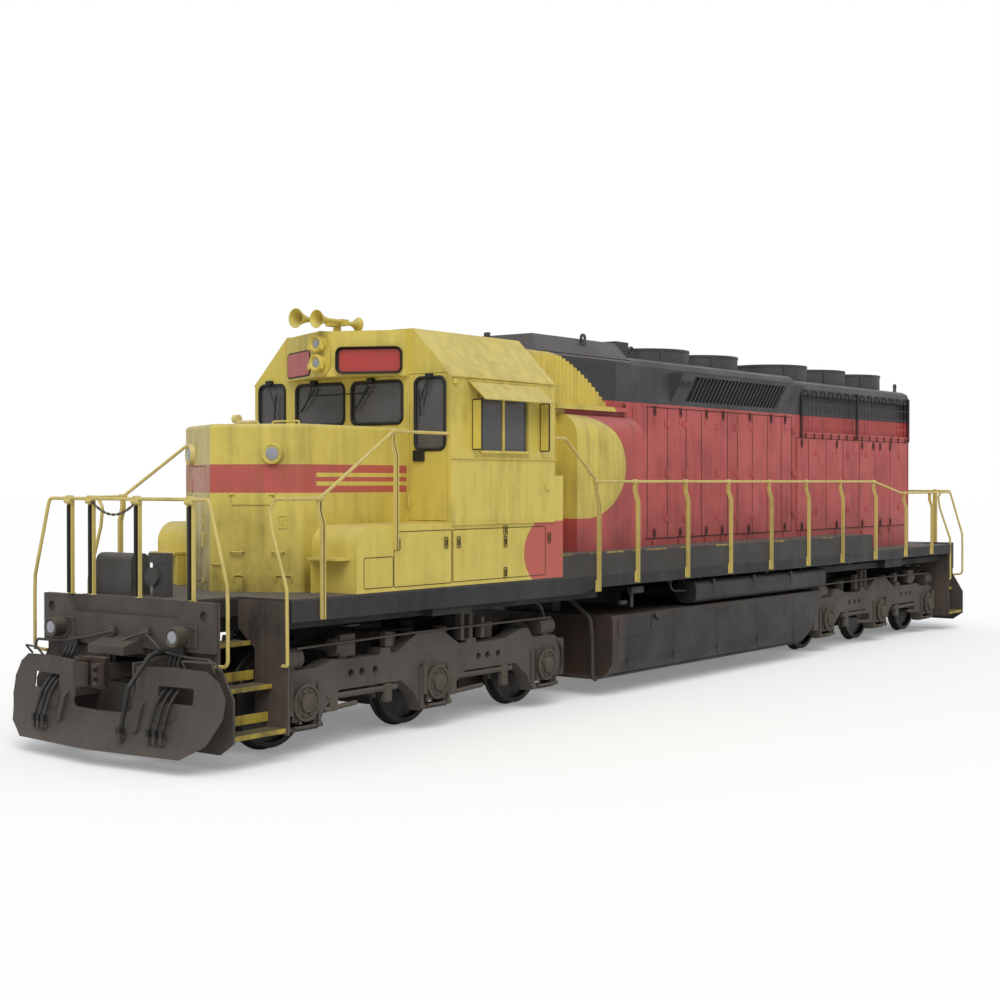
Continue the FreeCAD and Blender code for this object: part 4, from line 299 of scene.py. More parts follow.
def join(pieces):
    """Join pieces into the first, with its place in its mesh."""
    take(*pieces)
    if len(pieces) > 1:
        bpy.ops.object.join()
    bpy.ops.object.transform_apply(location=True, rotation=True, scale=True)
    return bpy.context.object


def soften(piece, edge, segments=1, sharp=40):
    """Bevel a piece's sharp edges with a modifier, applied."""
    take(piece)
    rim = piece.modifiers.new("rim", "BEVEL")
    rim.width = edge
    rim.segments = segments
    rim.limit_method = "ANGLE"
    rim.angle_limit = math.radians(sharp)
    bpy.ops.object.modifier_apply(modifier=rim.name)
    return piece


def brick(x, y, z, edge=0.003, segments=1):
    """A bevelled block between two places along each axis."""
    bpy.ops.object.select_all(action="DESELECT")
    bpy.ops.mesh.primitive_cube_add(size=1, location=[(low + high) / 2 for low, high in (x, y, z)],
                                    scale=[abs(high - low) for low, high in (x, y, z)])
    piece = bpy.context.object
    bpy.ops.object.transform_apply(location=False, rotation=False, scale=True)
    return soften(piece, edge, segments) if edge else piece


def bar(start, end, radius, sides=16, edge=0.003):
    """A round bar between two places, its rims bevelled."""
    start, end = Vector(start), Vector(end)
    bpy.ops.object.select_all(action="DESELECT")
    bpy.ops.mesh.primitive_cylinder_add(vertices=sides, radius=radius, depth=(end - start).length,
                                        location=(start + end) / 2,
                                        rotation=(end - start).to_track_quat("Z", "Y").to_euler())
    return soften(bpy.context.object, edge, 1, 60) if edge else bpy.context.object


def drawn(name, places, lines=(), faces=()):
    """A piece drawn through places, with lines or faces between them."""
    mesh = bpy.data.meshes.new(name)
    mesh.from_pydata(places, lines, faces)
    piece = bpy.data.objects.new(name, mesh)
    bpy.context.scene.collection.objects.link(piece)
    return take(piece)


def pipe(route, radius, bend=0.03, closed=False, sides=2):
    """A bent round bar through places, its corners rounded."""
    runs = [(number, number + 1) for number in range(len(route) - 1)]
    if closed:
        runs.append((len(route) - 1, 0))
    mesh = drawn("pipe", [Vector(place) for place in route], runs).data
    bpy.ops.object.mode_set(mode="EDIT")
    bpy.ops.mesh.select_all(action="DESELECT")
    bpy.ops.object.mode_set(mode="OBJECT")
    for number, corner in enumerate(mesh.vertices):
        corner.select = closed or 0 < number < len(route) - 1
    if bend and any(corner.select for corner in mesh.vertices):
        bpy.ops.object.mode_set(mode="EDIT")
        bpy.ops.mesh.select_mode(type="VERT")
        bpy.ops.mesh.bevel(offset=bend, segments=4, affect="VERTICES")
        bpy.ops.object.mode_set(mode="OBJECT")
    bpy.ops.object.convert(target="CURVE")
    curve = bpy.context.object.data
    curve.bevel_depth = radius
    curve.bevel_resolution = sides
    curve.use_fill_caps = True
    bpy.ops.object.convert(target="MESH")
    bpy.ops.object.shade_smooth_by_angle(angle=math.radians(50))
    return bpy.context.object


def turned(profile, place, towards, steps=24):
    """A turned piece: (radius, height) places spun about the direction towards, from place."""
    piece = drawn("turned", [(radius, 0, height) for radius, height in profile],
                  [(number, number + 1) for number in range(len(profile) - 1)])
    bpy.ops.object.mode_set(mode="EDIT")
    bpy.ops.mesh.select_all(action="SELECT")
    bpy.ops.mesh.spin(steps=steps, angle=math.tau, center=(0, 0, 0), axis=(0, 0, 1))
    bpy.ops.mesh.select_all(action="SELECT")
    bpy.ops.mesh.remove_doubles(threshold=0.00005)
    bpy.ops.mesh.normals_make_consistent(inside=False)
    bpy.ops.object.mode_set(mode="OBJECT")
    bpy.ops.object.shade_smooth_by_angle(angle=math.radians(35))
    piece.location = place
    piece.rotation_euler = Vector(towards).to_track_quat("Z", "Y").to_euler()
    return piece


def copies(model, places, keep=False):
    """Copies of a model made at the origin facing +X, at (place, heading in degrees)."""
    made = []
    for place, heading in places:
        piece = model.copy()
        piece.data = model.data.copy()
        piece.matrix_world = (Matrix.Translation(place) @ Matrix.Rotation(math.radians(heading), 4, "Z")
                              @ model.matrix_world)
        bpy.context.scene.collection.objects.link(piece)
        made.append(piece)
    if not keep:
        bpy.data.objects.remove(model)
    return made


def one_piece(name, pieces, body, coat):
    """Join pieces into one, coat it, and fix it to a body."""
    whole = join(pieces)
    whole.name = name
    whole.data.materials.clear()
    whole.data.materials.append(coat)
    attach(whole, body)
    return whole


def grab_iron(start, end, out, radius=0.011):
    """A grab iron between two feet on a face, standing out from it."""
    start, end, out = Vector(start), Vector(end), Vector(out)
    return pipe([start, start + out, end + out, end], radius, 0.02)


def latch(width=0.05, height=0.11):
    """A latch at the origin facing +X: its keeper frame and the handle in it."""
    corners = ((-1, -1), (1, -1), (1, 1), (-1, 1))
    rectangle = [(0.006, side * width / 2, end * height / 2) for side, end in corners]
    keeper = pipe(rectangle, 0.005, 0.01, True, 1)
    handle = brick((0.0, 0.016), (-0.008, 0.008), (-height * 0.3, height * 0.3))
    return join([handle, keeper])


# the heading of the nose's left front sheet, in degrees
LEFT_SHEET = 26.82
# the sand hatch, its hinges, and the latch beside it
hatch = brick((0, 0.014), (-0.225, 0.225), (-0.06, 0.06), 0.006)
hatch_hinge = bar((0.018, -0.03, 0), (0.018, 0.03, 0), 0.014, 12)
fittings = copies(hatch, [(facet(0.47, 0, 2.585), LEFT_SHEET)])
fittings += copies(hatch_hinge, [(facet(along, 0, 2.64), LEFT_SHEET) for along in (0.25, 0.69)])
fittings += copies(latch(0.085, 0.13), [(facet(0.8, 0, 2.35), LEFT_SHEET)])
# grab irons, foot loops and a hand hold on the left front sheet
for low, high, height in ((0.243, 0.375, 2.033), (0.694, 0.813, 2.035)):
    fittings.append(grab_iron(facet(low, -0.004, height), facet(high, -0.004, height), FACET_OUT * 0.05))
for low, high in ((0.264, 0.374), (0.725, 0.9)):
    loop = ((low, 1.72), (low, 1.79), (high, 1.79), (high, 1.72))
    fittings.append(pipe([facet(along, 0.012, height) for along, height in loop], 0.009, 0.02))
fittings.append(grab_iron(facet(0.03, -0.004, 1.904), facet(0.14, -0.004, 1.904), FACET_OUT * 0.03, 0.008))
# grab irons and the lifting bracket on the roof
for left, right in ((0.06, 0.46), (-0.46, -0.16)):
    fittings.append(grab_iron((7.45, left, 3.375), (7.45, right, 3.375), (0, 0, 0.055)))
fittings.append(brick((7.1, 7.16), (-0.86, -0.56), (3.38, 3.47), 0.01))
fittings.append(bar((7.13, -0.88, 3.49), (7.13, -0.8, 3.49), 0.05, 16))
# the nose lamps: place along the sheet from the crease, height, radius of the ring of bolts
LAMP_ALONG = 0.6948
LAMP_Z = 3.065
BOLT_RING = 0.099
rim_profile = [(0.118, 0.0), (0.118, 0.026), (0.108, 0.05), (0.088, 0.05), (0.084, 0.034), (0.084, 0.0)]
lamp_bolt = bar((0.05, 0, 0), (0.056, 0, 0), 0.006, 6, 0)
for way in (1, -1):
    seat = facet(LAMP_ALONG, 0, LAMP_Z, way)
    outward = Vector((FACET_OUT.x, way * FACET_OUT.y, 0))
    fittings.append(turned(rim_profile, seat, outward, 32))
    across = Vector((-outward.y, outward.x, 0))
    for step in range(12):
        turn = math.tau * step / 12
        place = seat + across * BOLT_RING * math.cos(turn) + Vector((0, 0, BOLT_RING * math.sin(turn)))
        fittings += copies(lamp_bolt, [(place, way * LEFT_SHEET)], True)
bpy.data.objects.remove(lamp_bolt)
one_piece("nose_fittings", fittings, "frame", nose_enamel)
door_latch = join([latch(0.05, 0.16), brick((0.0, 0.03), (-0.012, 0.012), (-0.28, -0.12)),
                   brick((0, 0.025), (-0.02, 0.02), (-0.66, -0.6))])
door_latch = copies(door_latch, [(facet(0.215, 0.006, 2.35, -1), -LEFT_SHEET)])
one_piece("nose_door_latch", door_latch, "nose_door_leaf", nose_enamel)

# --------------------------------------------------------------------------- lamps
# Sealed-beam lamps: a domed, fluted glass lens, a dull grey unlit, held in a cast housing by a hooded
# retaining ring.  The nose and headlight housings are yellow, the low lamps' the colour of the plate.


def lamp_colours(tree, x, y, z):
    """Yellow, and brown-black on the low lamps."""
    return choose(tree, test(tree, z, "LESS_THAN", 1.6), YELLOW, linear("#35312e"))


lamp_enamel = worn("lamp_enamel", lamp_colours, low_darkening=0.0, soiled=0.3, dusted=0.15)
dress(["lamps"], lamp_enamel)
lens_glass = bpy.data.materials.new("lens_glass")
lens_glass.use_nodes = True
tree = lens_glass.node_tree
shell = tree.nodes["Principled BSDF"]
# the lens shows its moulded flutes, about 9 mm apart
flutes = add(tree, "TexWave", [("Vector", add(tree, "TexCoord").outputs["Object"]), ("Scale", 35.0)],
             bands_direction="Z").outputs["Fac"]
film = add(tree, "MapRange", [("Value", flutes), ("To Min", 0.08), ("To Max", 0.2)]).outputs[0]
tone = choose(tree, flutes, linear("#7d7f86"), linear("#9a9ca3"))
tree.links.new(tone, shell.inputs["Base Color"])
tree.links.new(film, shell.inputs["Roughness"])
shell.inputs["Coat Weight"].default_value = 1.0
shell.inputs["Coat Roughness"].default_value = 0.05
# profiles here and below: radius and height of each corner, from the middle of the face
lens_profile = [(0.0, 0.016), (0.028, 0.0125), (0.05, 0.004), (0.056, -0.01)]
hood_profile = [(0.096, -0.04), (0.096, 0.012), (0.088, 0.022), (0.074, 0.022), (0.06, -0.002),
                (0.052, -0.006)]
# the low lamps: front of the housing, place across, height
LOW_X = 9.65
LOW_Y = 0.92
LOW_Z = 1.285


def lens(scale, place, outward):
    """A lens of scale times the headlight lens's width."""
    return turned([(radius * scale, height) for radius, height in lens_profile], place, outward, 32)


lenses, hoods, low_hoods = [], [], []
for height in (4.12, 4.34):
    lenses.append(lens(1.0, (6.705, 0, height), (1, 0, 0)))
    hoods.append(turned(hood_profile, (6.705, 0, height), (1, 0, 0), 32))
    for y in (-0.1, 0.1):
        hoods.append(brick((6.7, 6.728), (y - 0.02, y + 0.02), (height - 0.075, height - 0.01), 0.01))
for way in (-1, 1):
    outward = Vector((FACET_OUT.x, way * FACET_OUT.y, 0))
    lenses.append(lens(1.35, facet(LAMP_ALONG, 0.042, LAMP_Z, way), outward))
    lenses.append(lens(1.2, (LOW_X + 0.002, way * LOW_Y, LOW_Z), (1, 0, 0)))
    low_hoods.append(turned([(0.1, -0.1), (0.1, 0.008), (0.086, 0.014), (0.068, 0.0), (0.066, -0.012)],
                            (LOW_X, way * LOW_Y, LOW_Z), (1, 0, 0), 32))
    low_hoods.append(bar((9.44, way * LOW_Y, LOW_Z), (9.53, way * LOW_Y, LOW_Z), 0.075, 24, 0.012))
one_piece("lamp_lenses", lenses, "frame", lens_glass)
one_piece("headlight_rings", hoods + low_hoods, "frame", lamp_enamel)

# --------------------------------------------------------------------------- number panels
# Blank red acrylic panels, lit from behind when in use, in black rubber edging on the two facets of
# the box over the windscreens.
panel_red = worn("panel_acrylic", only("#b23a35"), soot="#5a2a24", dust="#d8c8c0", soiled=0.2, dusted=0.15,
                 rough=0.25, low_darkening=0)
panel_rubber = worn("edging_rubber", only("#121212"), soot="#080808", dust="#77736c", soiled=0.2,
                    dusted=0.15, rough=0.6, low_darkening=0)
BOX_TIP = Vector((6.62, 0.11, 0))
BOX_ALONG = Vector((-0.4322, 0.9018, 0))
BOX_OUT = Vector((0.9018, 0.4322, 0))


def round_corners(plate, radius):
    """Round the corners of a plate that faces +X."""
    take(plate)
    bpy.ops.object.transform_apply(location=True, rotation=True, scale=True)
    bpy.ops.object.mode_set(mode="EDIT")
    bpy.ops.mesh.select_all(action="DESELECT")
    bpy.ops.object.mode_set(mode="OBJECT")
    corners = plate.data.vertices
    for edge in plate.data.edges:
        edge.select = abs(corners[edge.vertices[0]].co.x - corners[edge.vertices[1]].co.x) > 0.001
    bpy.ops.object.mode_set(mode="EDIT")
    bpy.ops.mesh.select_mode(type="EDGE")
    bpy.ops.mesh.bevel(offset=radius, segments=6)
    bpy.ops.object.mode_set(mode="OBJECT")
    return plate


panels, edgings = [], []
for way in (1, -1):
    heading = way * math.degrees(math.atan2(BOX_OUT.y, BOX_OUT.x))
    middle = BOX_TIP + BOX_ALONG * 0.49
    middle = Vector((middle.x, way * middle.y, 4.142))
    for listing, half_long, half_high, thick in ((edgings, 0.385, 0.152, 0.008),
                                                 (panels, 0.368, 0.135, 0.012)):
        plate = brick((-0.004, thick), (-half_long, half_long), (-half_high, half_high), 0)
        listing += copies(soften(round_corners(plate, 0.075), 0.002), [(middle, heading)])
one_piece("number_panels", panels, "frame", panel_red)
one_piece("number_panel_edging", edgings, "frame", panel_rubber)

# --------------------------------------------------------------------------- cab windows, wipers and trim
# Toughened panes glazed into black rubber beading; steel wiper arms on motors over each pane; drip
# rails and belt rails of rolled strip welded along the cab side and painted with it.
window_glass = bpy.data.materials.new("window_glass")
window_glass.use_nodes = True
tree = window_glass.node_tree
shell = tree.nodes["Principled BSDF"]
film = add(tree, "TexNoise", [("Vector", add(tree, "TexCoord").outputs["Object"]), ("Scale", 2.5),
                              ("Detail", 5.0)]).outputs[0]
tint = choose(tree, film, linear("#4b4a4d"), linear("#6e6c6e"))
dirt = add(tree, "MapRange", [("Value", film), ("To Min", 0.03), ("To Max", 0.22)]).outputs[0]
tree.links.new(tint, shell.inputs["Base Color"])
tree.links.new(dirt, shell.inputs["Roughness"])
shell.inputs["Alpha"].default_value = 0.72
dress(["cab_glass"], window_glass)
for name, leaf, x, y in (("front_door_pane", "cab_door_front_leaf", (6.143, 6.151), (1.03, 1.44)),
                         ("rear_door_pane", "cab_door_rear_leaf", (4.173, 4.181), (-1.42, -1.04))):
    pane = round_corners(brick(x, y, (3.14, 3.925), 0), 0.07)
    one_piece(name, [pane], leaf, window_glass)
window_rubber = worn("window_rubber", only("#0d0d0e"), soot="#060606", dust="#6b675f", soiled=0.2,
                     dusted=0.12, rough=0.55, low_darkening=0)


# the rubber's middle plane on the cab's front and rear walls, and the wipers' pivots before the glass
FRONT_BEAD = 6.168
REAR_BEAD = 4.156
WIPER_X = 6.18


def beading(x, y, z):
    """The rubber round a window in a wall across the locomotive, on its outer face."""
    return pipe([(x, y[0], z[0]), (x, y[1], z[0]), (x, y[1], z[1]), (x, y[0], z[1])], 0.019, 0.075, True)


beads = [beading(FRONT_BEAD, (0.06, 0.83), (3.435, 3.915)),
         beading(FRONT_BEAD, (-0.83, -0.06), (3.435, 3.915)),
         beading(FRONT_BEAD, (-1.45, -1.02), (3.13, 3.935)),
         beading(REAR_BEAD, (1.02, 1.45), (3.19, 3.86))]
# frames of the wind deflectors beside the side windows
for middle in (5.781, 4.471):
    outline = [(middle, 1.54, 3.135), (middle, 1.668, 3.135), (middle, 1.668, 3.695), (middle, 1.54, 3.695)]
    for way in (1, -1):
        beads.append(pipe([(x, way * y, z) for x, y, z in outline], 0.009, 0.012, True))


def wiper(pivot, tip, blade):
    """A wiper: its motor cap over the glass, the arm, and the blade crossing the arm's tip."""
    pivot, tip, blade = Vector(pivot), Vector(tip), Vector(blade)
    half = blade / 2
    cap = brick((pivot.x - 0.015, pivot.x + 0.045), (pivot.y - 0.045, pivot.y + 0.045),
                (pivot.z - 0.025, pivot.z + 0.03), 0.008)
    arm = pipe([pivot + Vector((0.03, 0, 0)), tip + Vector((0.018, 0, 0))], 0.007, 0)
    return [cap, arm, pipe([tip - half + Vector((0.014, 0, 0)), tip + half + Vector((0.014, 0, 0))], 0.01, 0)]


# wiper: its pivot and tip as places across and up, and the blade's run across and up
for pivot, tip, blade in (((0.375, 3.93), (0.24, 3.73), (0.24, 0.27)),
                          ((-0.52, 3.93), (-0.62, 3.73), (0.22, 0.27)),
                          ((-1.26, 3.96), (-1.16, 3.66), (0.03, 0.3))):
    beads += wiper((WIPER_X, *pivot), (WIPER_X, *tip), (0, *blade))
# the link between the windscreen wipers' arms, and the cap over the corner pane
beads.append(pipe([(6.2, 0.31, 3.79), (6.2, -0.56, 3.79)], 0.006, 0))
beads.append(brick((6.165, 6.195), (-1.31, -1.21), (3.95, 3.985), 0.006))
one_piece("window_beads_and_wipers", beads, "frame", window_rubber)
door_beads = [beading(FRONT_BEAD, (1.02, 1.45), (3.13, 3.935))]
door_beads += wiper((6.172, 1.24, 3.95), (6.175, 1.1, 3.66), (0, -0.03, 0.3))
door_beads.append(brick((6.166, 6.196), (1.0, 1.16), (3.0, 3.125), 0.006))
door_beads.append(pipe([(6.19, 1.24, 3.93), (6.19, 1.16, 3.62)], 0.006, 0))
one_piece("front_door_beading", door_beads, "cab_door_front_leaf", window_rubber)
rear_beads = [beading(REAR_BEAD, (-1.43, -1.03), (3.13, 3.935)),
              brick((4.13, 4.158), (-1.41, -1.33), (2.95, 3.03), 0.006)]
one_piece("rear_door_beading", rear_beads, "cab_door_rear_leaf", window_rubber)
CAB_FACE = 1.53
trim = []


def span(way, near, far):
    """From near to far, to the side or end that way points to (1 or -1)."""
    return sorted((way * near, way * far))


def strip(x, out, z, edge=0.004):
    """A strip on the cab side that way points to, standing out from it."""
    return brick(x, span(way, CAB_FACE - 0.004, CAB_FACE + out), z, edge)


# two belt rails, drip rail, window sill and frame, sunshade's hinge: ends, depth, foot and top
STRIPS = (((4.16, 6.165), 0.02, (3.026, 3.044)), ((4.2, 6.16), 0.024, (2.286, 2.306)),
          ((4.16, 6.165), 0.022, (3.934, 3.952)), ((4.72, 5.645), 0.045, (3.095, 3.125)),
          ((4.7, 4.727), 0.02, (3.11, 3.75)), ((5.637, 5.664), 0.02, (3.11, 3.75)),
          ((4.7, 5.664), 0.02, (3.735, 3.76)), ((4.56, 5.84), 0.03, (3.9, 3.922)))
for way in (1, -1):
    trim += [strip(ends, out, heights) for ends, out, heights in STRIPS]
    for x, z in ((6.1, 3.885), (4.62, 3.72), (4.33, 3.8), (4.33, 2.7)):
        trim.append(strip((x - 0.035, x + 0.035), 0.03, (z - 0.03, z + 0.03), 0.008))
    # the stays of the sunshade
    for x in (4.62, 5.78):
        trim.append(pipe([(x, way * CAB_FACE, 3.87), (x, way * 1.72, 3.7)], 0.009, 0))
one_piece("cab_side_trim", trim, "frame", cab_enamel)

# --------------------------------------------------------------------------- equipment box doors
# Access doors of flanged sheet let into the boxes beside and under the cab: fine dark seams round
# each, held shut by small spring latches.
seam_black = worn("seam_shadow", only("#3a3318"), soot="#1c180c", dust="#6b6040", soiled=0.5,
                  dusted=0.1, rough=0.8, low_darkening=0.2)
latch_steel = worn("latch_steel", only("#55491c"), soot="#1b1608", dust="#8d8150", soiled=0.6,
                   dusted=0.2, rough=0.6, low_darkening=0.3)
# doors: front edge, rear edge, foot, top
BOX_DOORS = ((7.125, 6.15, 1.655, 2.24), (6.13, 4.36, 1.66, 2.24), (7.6, 7.14, 1.66, 1.98))
# latches: places along and up
BOX_LATCHES = ((7.06, 2.11), (6.25, 2.1), (6.03, 2.1), (5.16, 2.08), (4.28, 2.1), (5.16, 1.72))
seams, catches = [], []
box_latch = latch(0.055, 0.12)
slot_latch = latch(0.07, 0.1)
for way in (1, -1):
    for front, rear, foot, top in BOX_DOORS:
        face = way * (CAB_FACE + 0.0005)
        outline = [(front, face, foot), (rear, face, foot), (rear, face, top), (front, face, top)]
        seams.append(pipe(outline, 0.0045, 0.02, True, 1))
    heading = 90 * way
    catches += copies(box_latch, [((x, way * CAB_FACE, z), heading) for x, z in BOX_LATCHES], True)
    catches += copies(slot_latch, [((5.16, way * CAB_FACE, 2.21), heading)], True)
bpy.data.objects.remove(box_latch)
bpy.data.objects.remove(slot_latch)
one_piece("box_door_seams", seams, "frame", seam_black)
one_piece("box_latches", catches, "frame", latch_steel)

# --------------------------------------------------------------------------- hood fittings
# Doors of flanged sheet along both sides: dark seams between them, spring latches at head and foot
# and strap hinges, all painted with the hood.  The fins and cage wires are painted with it too.
dress(["hood_grilles"], hood_enamel)
HOOD_FACE = 0.954
# door seams: foot, head, places along
DOOR_SEAMS = ((1.99, 3.8, (1.107, 0.567, 0.047, -0.393, -1.173, -1.483, -1.963, -2.453, -2.933, -3.283)),
              (1.99, 3.48, (-3.488, -3.907, -4.568, -5.228, -5.888, -6.548, -7.208, -7.998)))
# latches: height, places along
LATCHES = ((3.76, (1.705, 0.916, 0.206, -0.539, -1.038, -1.877, -2.578, -3.062)),
           (2.05, (0.926, 0.215, -0.533, -1.013, -1.845, -3.052)),
           (3.4, (-3.657, -4.978, -6.002, -6.467, -6.77, -7.212)),
           (2.045, (-3.657, -4.978, -6.011, -6.779, -7.221)))
# hinges: height, places along
ENGINE_HINGES = (0.584, 0.087, -0.88, -1.41, -1.952, -3.38)
RADIATOR_HINGES = (-4.204, -5.43, -6.2, -7.62)
HINGES = ((3.59, (2.162, *ENGINE_HINGES)), (2.9, ENGINE_HINGES), (2.25, ENGINE_HINGES),
          (3.25, RADIATOR_HINGES), (2.3, RADIATOR_HINGES))
hood_latch = latch(0.06, 0.13)
latch_pad = brick((0, 0.008), (-0.035, 0.035), (-0.17, -0.09), 0.002)
hinge_leaf = brick((0, 0.01), (-0.06, 0.06), (-0.045, 0.045), 0.003)
hinge_barrel = bar((0.012, 0, -0.05), (0.012, 0, 0.05), 0.009, 10, 0.002)
seams, catches, straps = [], [], []
for way in (1, -1):
    face = way * HOOD_FACE
    heading = 90 * way
    for foot, head, alongs in DOOR_SEAMS:
        for x in alongs:
            upright = span(way, HOOD_FACE - 0.01, HOOD_FACE + 0.0015)
            seams.append(brick((x - 0.008, x + 0.008), upright, (foot, head), 0))
        for z in (head, foot - 0.012):
            level = span(way, HOOD_FACE - 0.01, HOOD_FACE + 0.001)
            seams.append(brick((alongs[-1], alongs[0]), level, (z, z + 0.012), 0))
    for height, alongs in LATCHES:
        catches += copies(hood_latch, [((x, face, height), heading) for x in alongs], True)
        straps += copies(latch_pad, [((x, face, height), heading) for x in alongs], True)
    for height, alongs in HINGES:
        straps += copies(hinge_leaf, [((x, face, height), heading) for x in alongs], True)
        straps += copies(hinge_barrel, [((x, face, height), heading) for x in alongs], True)
for model in (hood_latch, latch_pad, hinge_leaf, hinge_barrel):
    bpy.data.objects.remove(model)
hood_seam = worn("hood_seam_shadow", only("#3a1c1a"), soot="#140c0b", dust="#5c3a34", soiled=0.5,
                 dusted=0.1, rough=0.8, low_darkening=0.3)
latch_iron = worn("latch_iron", only("#3b2624"), soot="#140f0e", dust="#8a7069", soiled=0.5,
                  dusted=0.25, rough=0.6, low_darkening=0.2)
one_piece("hood_door_seams", seams, "frame", hood_seam)
one_piece("hood_latches", catches, "frame", latch_iron)
one_piece("hood_hinges", straps, "frame", hood_enamel)

# --------------------------------------------------------------------------- radiator cages
# Welded wire cages over the radiator intakes, hung from scalloped hoops of round bar along their
# tops, with flat steel bars down their ends and middle; in the hood's red and grey, both much darker.
# cages: rear and front ends, foot and top, distance across
CAGE_X = (-8.04, -3.633)
CAGE_Z = (3.545, 4.225)
CAGE_FACE = 0.966
HOOPS = 14
hoops, cage_bars = [], []
for way in (1, -1):
    face = way * CAGE_FACE
    for step in range(HOOPS):
        x = CAGE_X[0] + (step + 0.5) * (CAGE_X[1] - CAGE_X[0]) / HOOPS
        # the scallop, its lug on the roof, and the foot of the wire below it
        hoop = ((-0.08, 4.15), (-0.09, 4.215), (-0.05, 4.262), (0.05, 4.262), (0.09, 4.215), (0.08, 4.15))
        hoops.append(pipe([(x + off, face, z) for off, z in hoop], 0.009, 0.04, False, 1))
        hoops.append(brick((x - 0.012, x + 0.012), span(way, CAGE_FACE, 0.942), (4.245, 4.275), 0.003))
        hoops.append(pipe([(x, face, 3.57), (x, face, 3.49), (x, way * 0.945, 3.47)], 0.011, 0.015, False, 1))
    for x in (CAGE_X[0] + 0.02, -5.786, CAGE_X[1]):
        cage_bars.append(brick((x - 0.03, x + 0.03), span(way, 0.94, CAGE_FACE + 0.012),
                               (CAGE_Z[0] - 0.05, CAGE_Z[1] + 0.06), 0.004))


def cage_colours(tree, x, y, z):
    """The hood's red, darkened, low down, and near-black above."""
    return choose(tree, test(tree, z, "GREATER_THAN", 3.83), linear("#4e1d20"), linear("#17191a"))


cage_iron = worn("cage_iron", cage_colours, soot="#120f0f", dust="#6b5552", soiled=0.4, dusted=0.1,
                 rough=0.7, low_darkening=0.2)
one_piece("cage_hoops", hoops, "frame", cage_iron)
one_piece("cage_bars", cage_bars, "frame", cage_iron)

# --------------------------------------------------------------------------- roof fittings
# Lifting eyes cut from plate and welded to the roofs, latches on the brake housing's access doors,
# rings and straps round the fan shrouds, all sprayed the top coat's dark grey.
# lifting eyes: place along, place across, roof
LIFTING_EYES = ((2.44, 0.78, 4.56), (0.967, 0.6, 4.5), (-8.25, 0.6, 4.43))
roof_bits = []
for way in (1, -1):
    for x, y, base in LIFTING_EYES:
        eye = [(0.028, -0.012), (0.06, -0.012), (0.06, 0.012), (0.028, 0.012), (0.028, -0.012)]
        roof_bits.append(turned(eye, (x, way * y, base + 0.11), (0, 1, 0), 20))
        roof_bits.append(brick((x - 0.06, x + 0.06), span(way, y - 0.012, y + 0.012),
                               (base - 0.05, base + 0.06), 0.004))
    for x in (0.38, 0.2):
        roof_bits += copies(latch(0.09, 0.15), [((x, way * 1.098, 4.157), 90 * way)])
    roof_bits.append(brick((4.40, 4.44), span(way, 0.66, 0.74), (4.5, 4.6), 0.006))
    roof_bits.append(brick((-3.35, -3.33), span(way, 0.2, 0.83), (4.41, 4.49), 0.004))
# fans: place along, roof, top of the shroud
FANS = ((-0.32, 4.47, 4.7), (-1.82, 4.47, 4.7), (-4.24, 4.42, 4.7), (-5.74, 4.42, 4.7), (-7.24, 4.42, 4.7))
for x, roof, top in FANS:
    foot_ring = [(0.68, 0), (0.705, 0), (0.705, 0.014), (0.68, 0.014)]
    top_ring = [(0.679, -0.03), (0.69, -0.03), (0.69, 0.004), (0.679, 0.004)]
    roof_bits.append(turned(foot_ring, (x, 0, roof), (0, 0, 1), 64))
    roof_bits.append(turned(top_ring, (x, 0, top), (0, 0, 1), 64))
    strap = brick((0.68, 0.694), (-0.03, 0.03), (0.0, top - roof), 0.002)
    roof_bits += copies(strap, [((x, 0, roof), turn) for turn in (55, 175, 295)])
top_grey = worn("roof_grey_enamel", only("#37383b"), soot="#1b1a19", dust="#8f8a80", dusted=0.3, low_darkening=0.0)
one_piece("roof_fittings", roof_bits, "frame", top_grey)
fan_metal = worn("fan_aluminium", only("#4b4d50"), soot="#232323", dust="#7c7972", dusted=0.3,
                 rough=0.45, low_darkening=0, metal=0.6)
dress([f"fan_{number}" for number in range(1, 6)], fan_metal)

# --------------------------------------------------------------------------- deck and sills
# Rolled steel plate decks, trodden bare of paint and thick with dust; the sills below carry a
# blue-black coat, and scraps of a yellow kick line are left along the raised walkway's edge.


def sill_colours(tree, x, y, z):
    """Blue-black, with a painted highlight of lighter grey along the walkway's edge."""
    # painted highlight: above 1.6 m the sill is lighter grey, standing in for light caught along the deck
    # edge
    return choose(tree, test(tree, z, "GREATER_THAN", 1.6), linear("#26262a"), linear("#5a5550"))


sill_coat = worn("sill_enamel", sill_colours, soot="#151414", dust="#5b5751", soiled=0.5, dusted=0.35,
                 rough=0.6, low_darkening=0.5)
deck_plate = worn("deck_plate", only("#33312f"), soot="#2b2724", dust="#77716a", soiled=0.4,
                  dusted=0.75, rough=0.65, low_darkening=0.4)
dress(["side_sills"], sill_coat)
dress(["walkways"], deck_plate)
# what is left of the kick line: front end, rear end
KICK_LINES = ((4.05, 3.78), (3.4, 3.18), (3.02, 2.62), (2.4, 2.28), (2.05, 1.55), (1.2, 1.0), (0.2, -0.3),
              (-1.6, -1.9), (-3.2, -3.6))
kick = []
for way in (1, -1):
    for front, rear in KICK_LINES:
        kick.append(brick((rear, front), span(way, 1.5, 1.5315), (1.868, 1.887), 0.001))
kick_yellow = worn("kick_line_paint", only("#a8923f"), soot="#3a352c", dust="#8b8474", soiled=0.9,
                   dusted=0.4, rough=0.6, low_darkening=0.5)
one_piece("kick_lines", kick, "frame", kick_yellow)
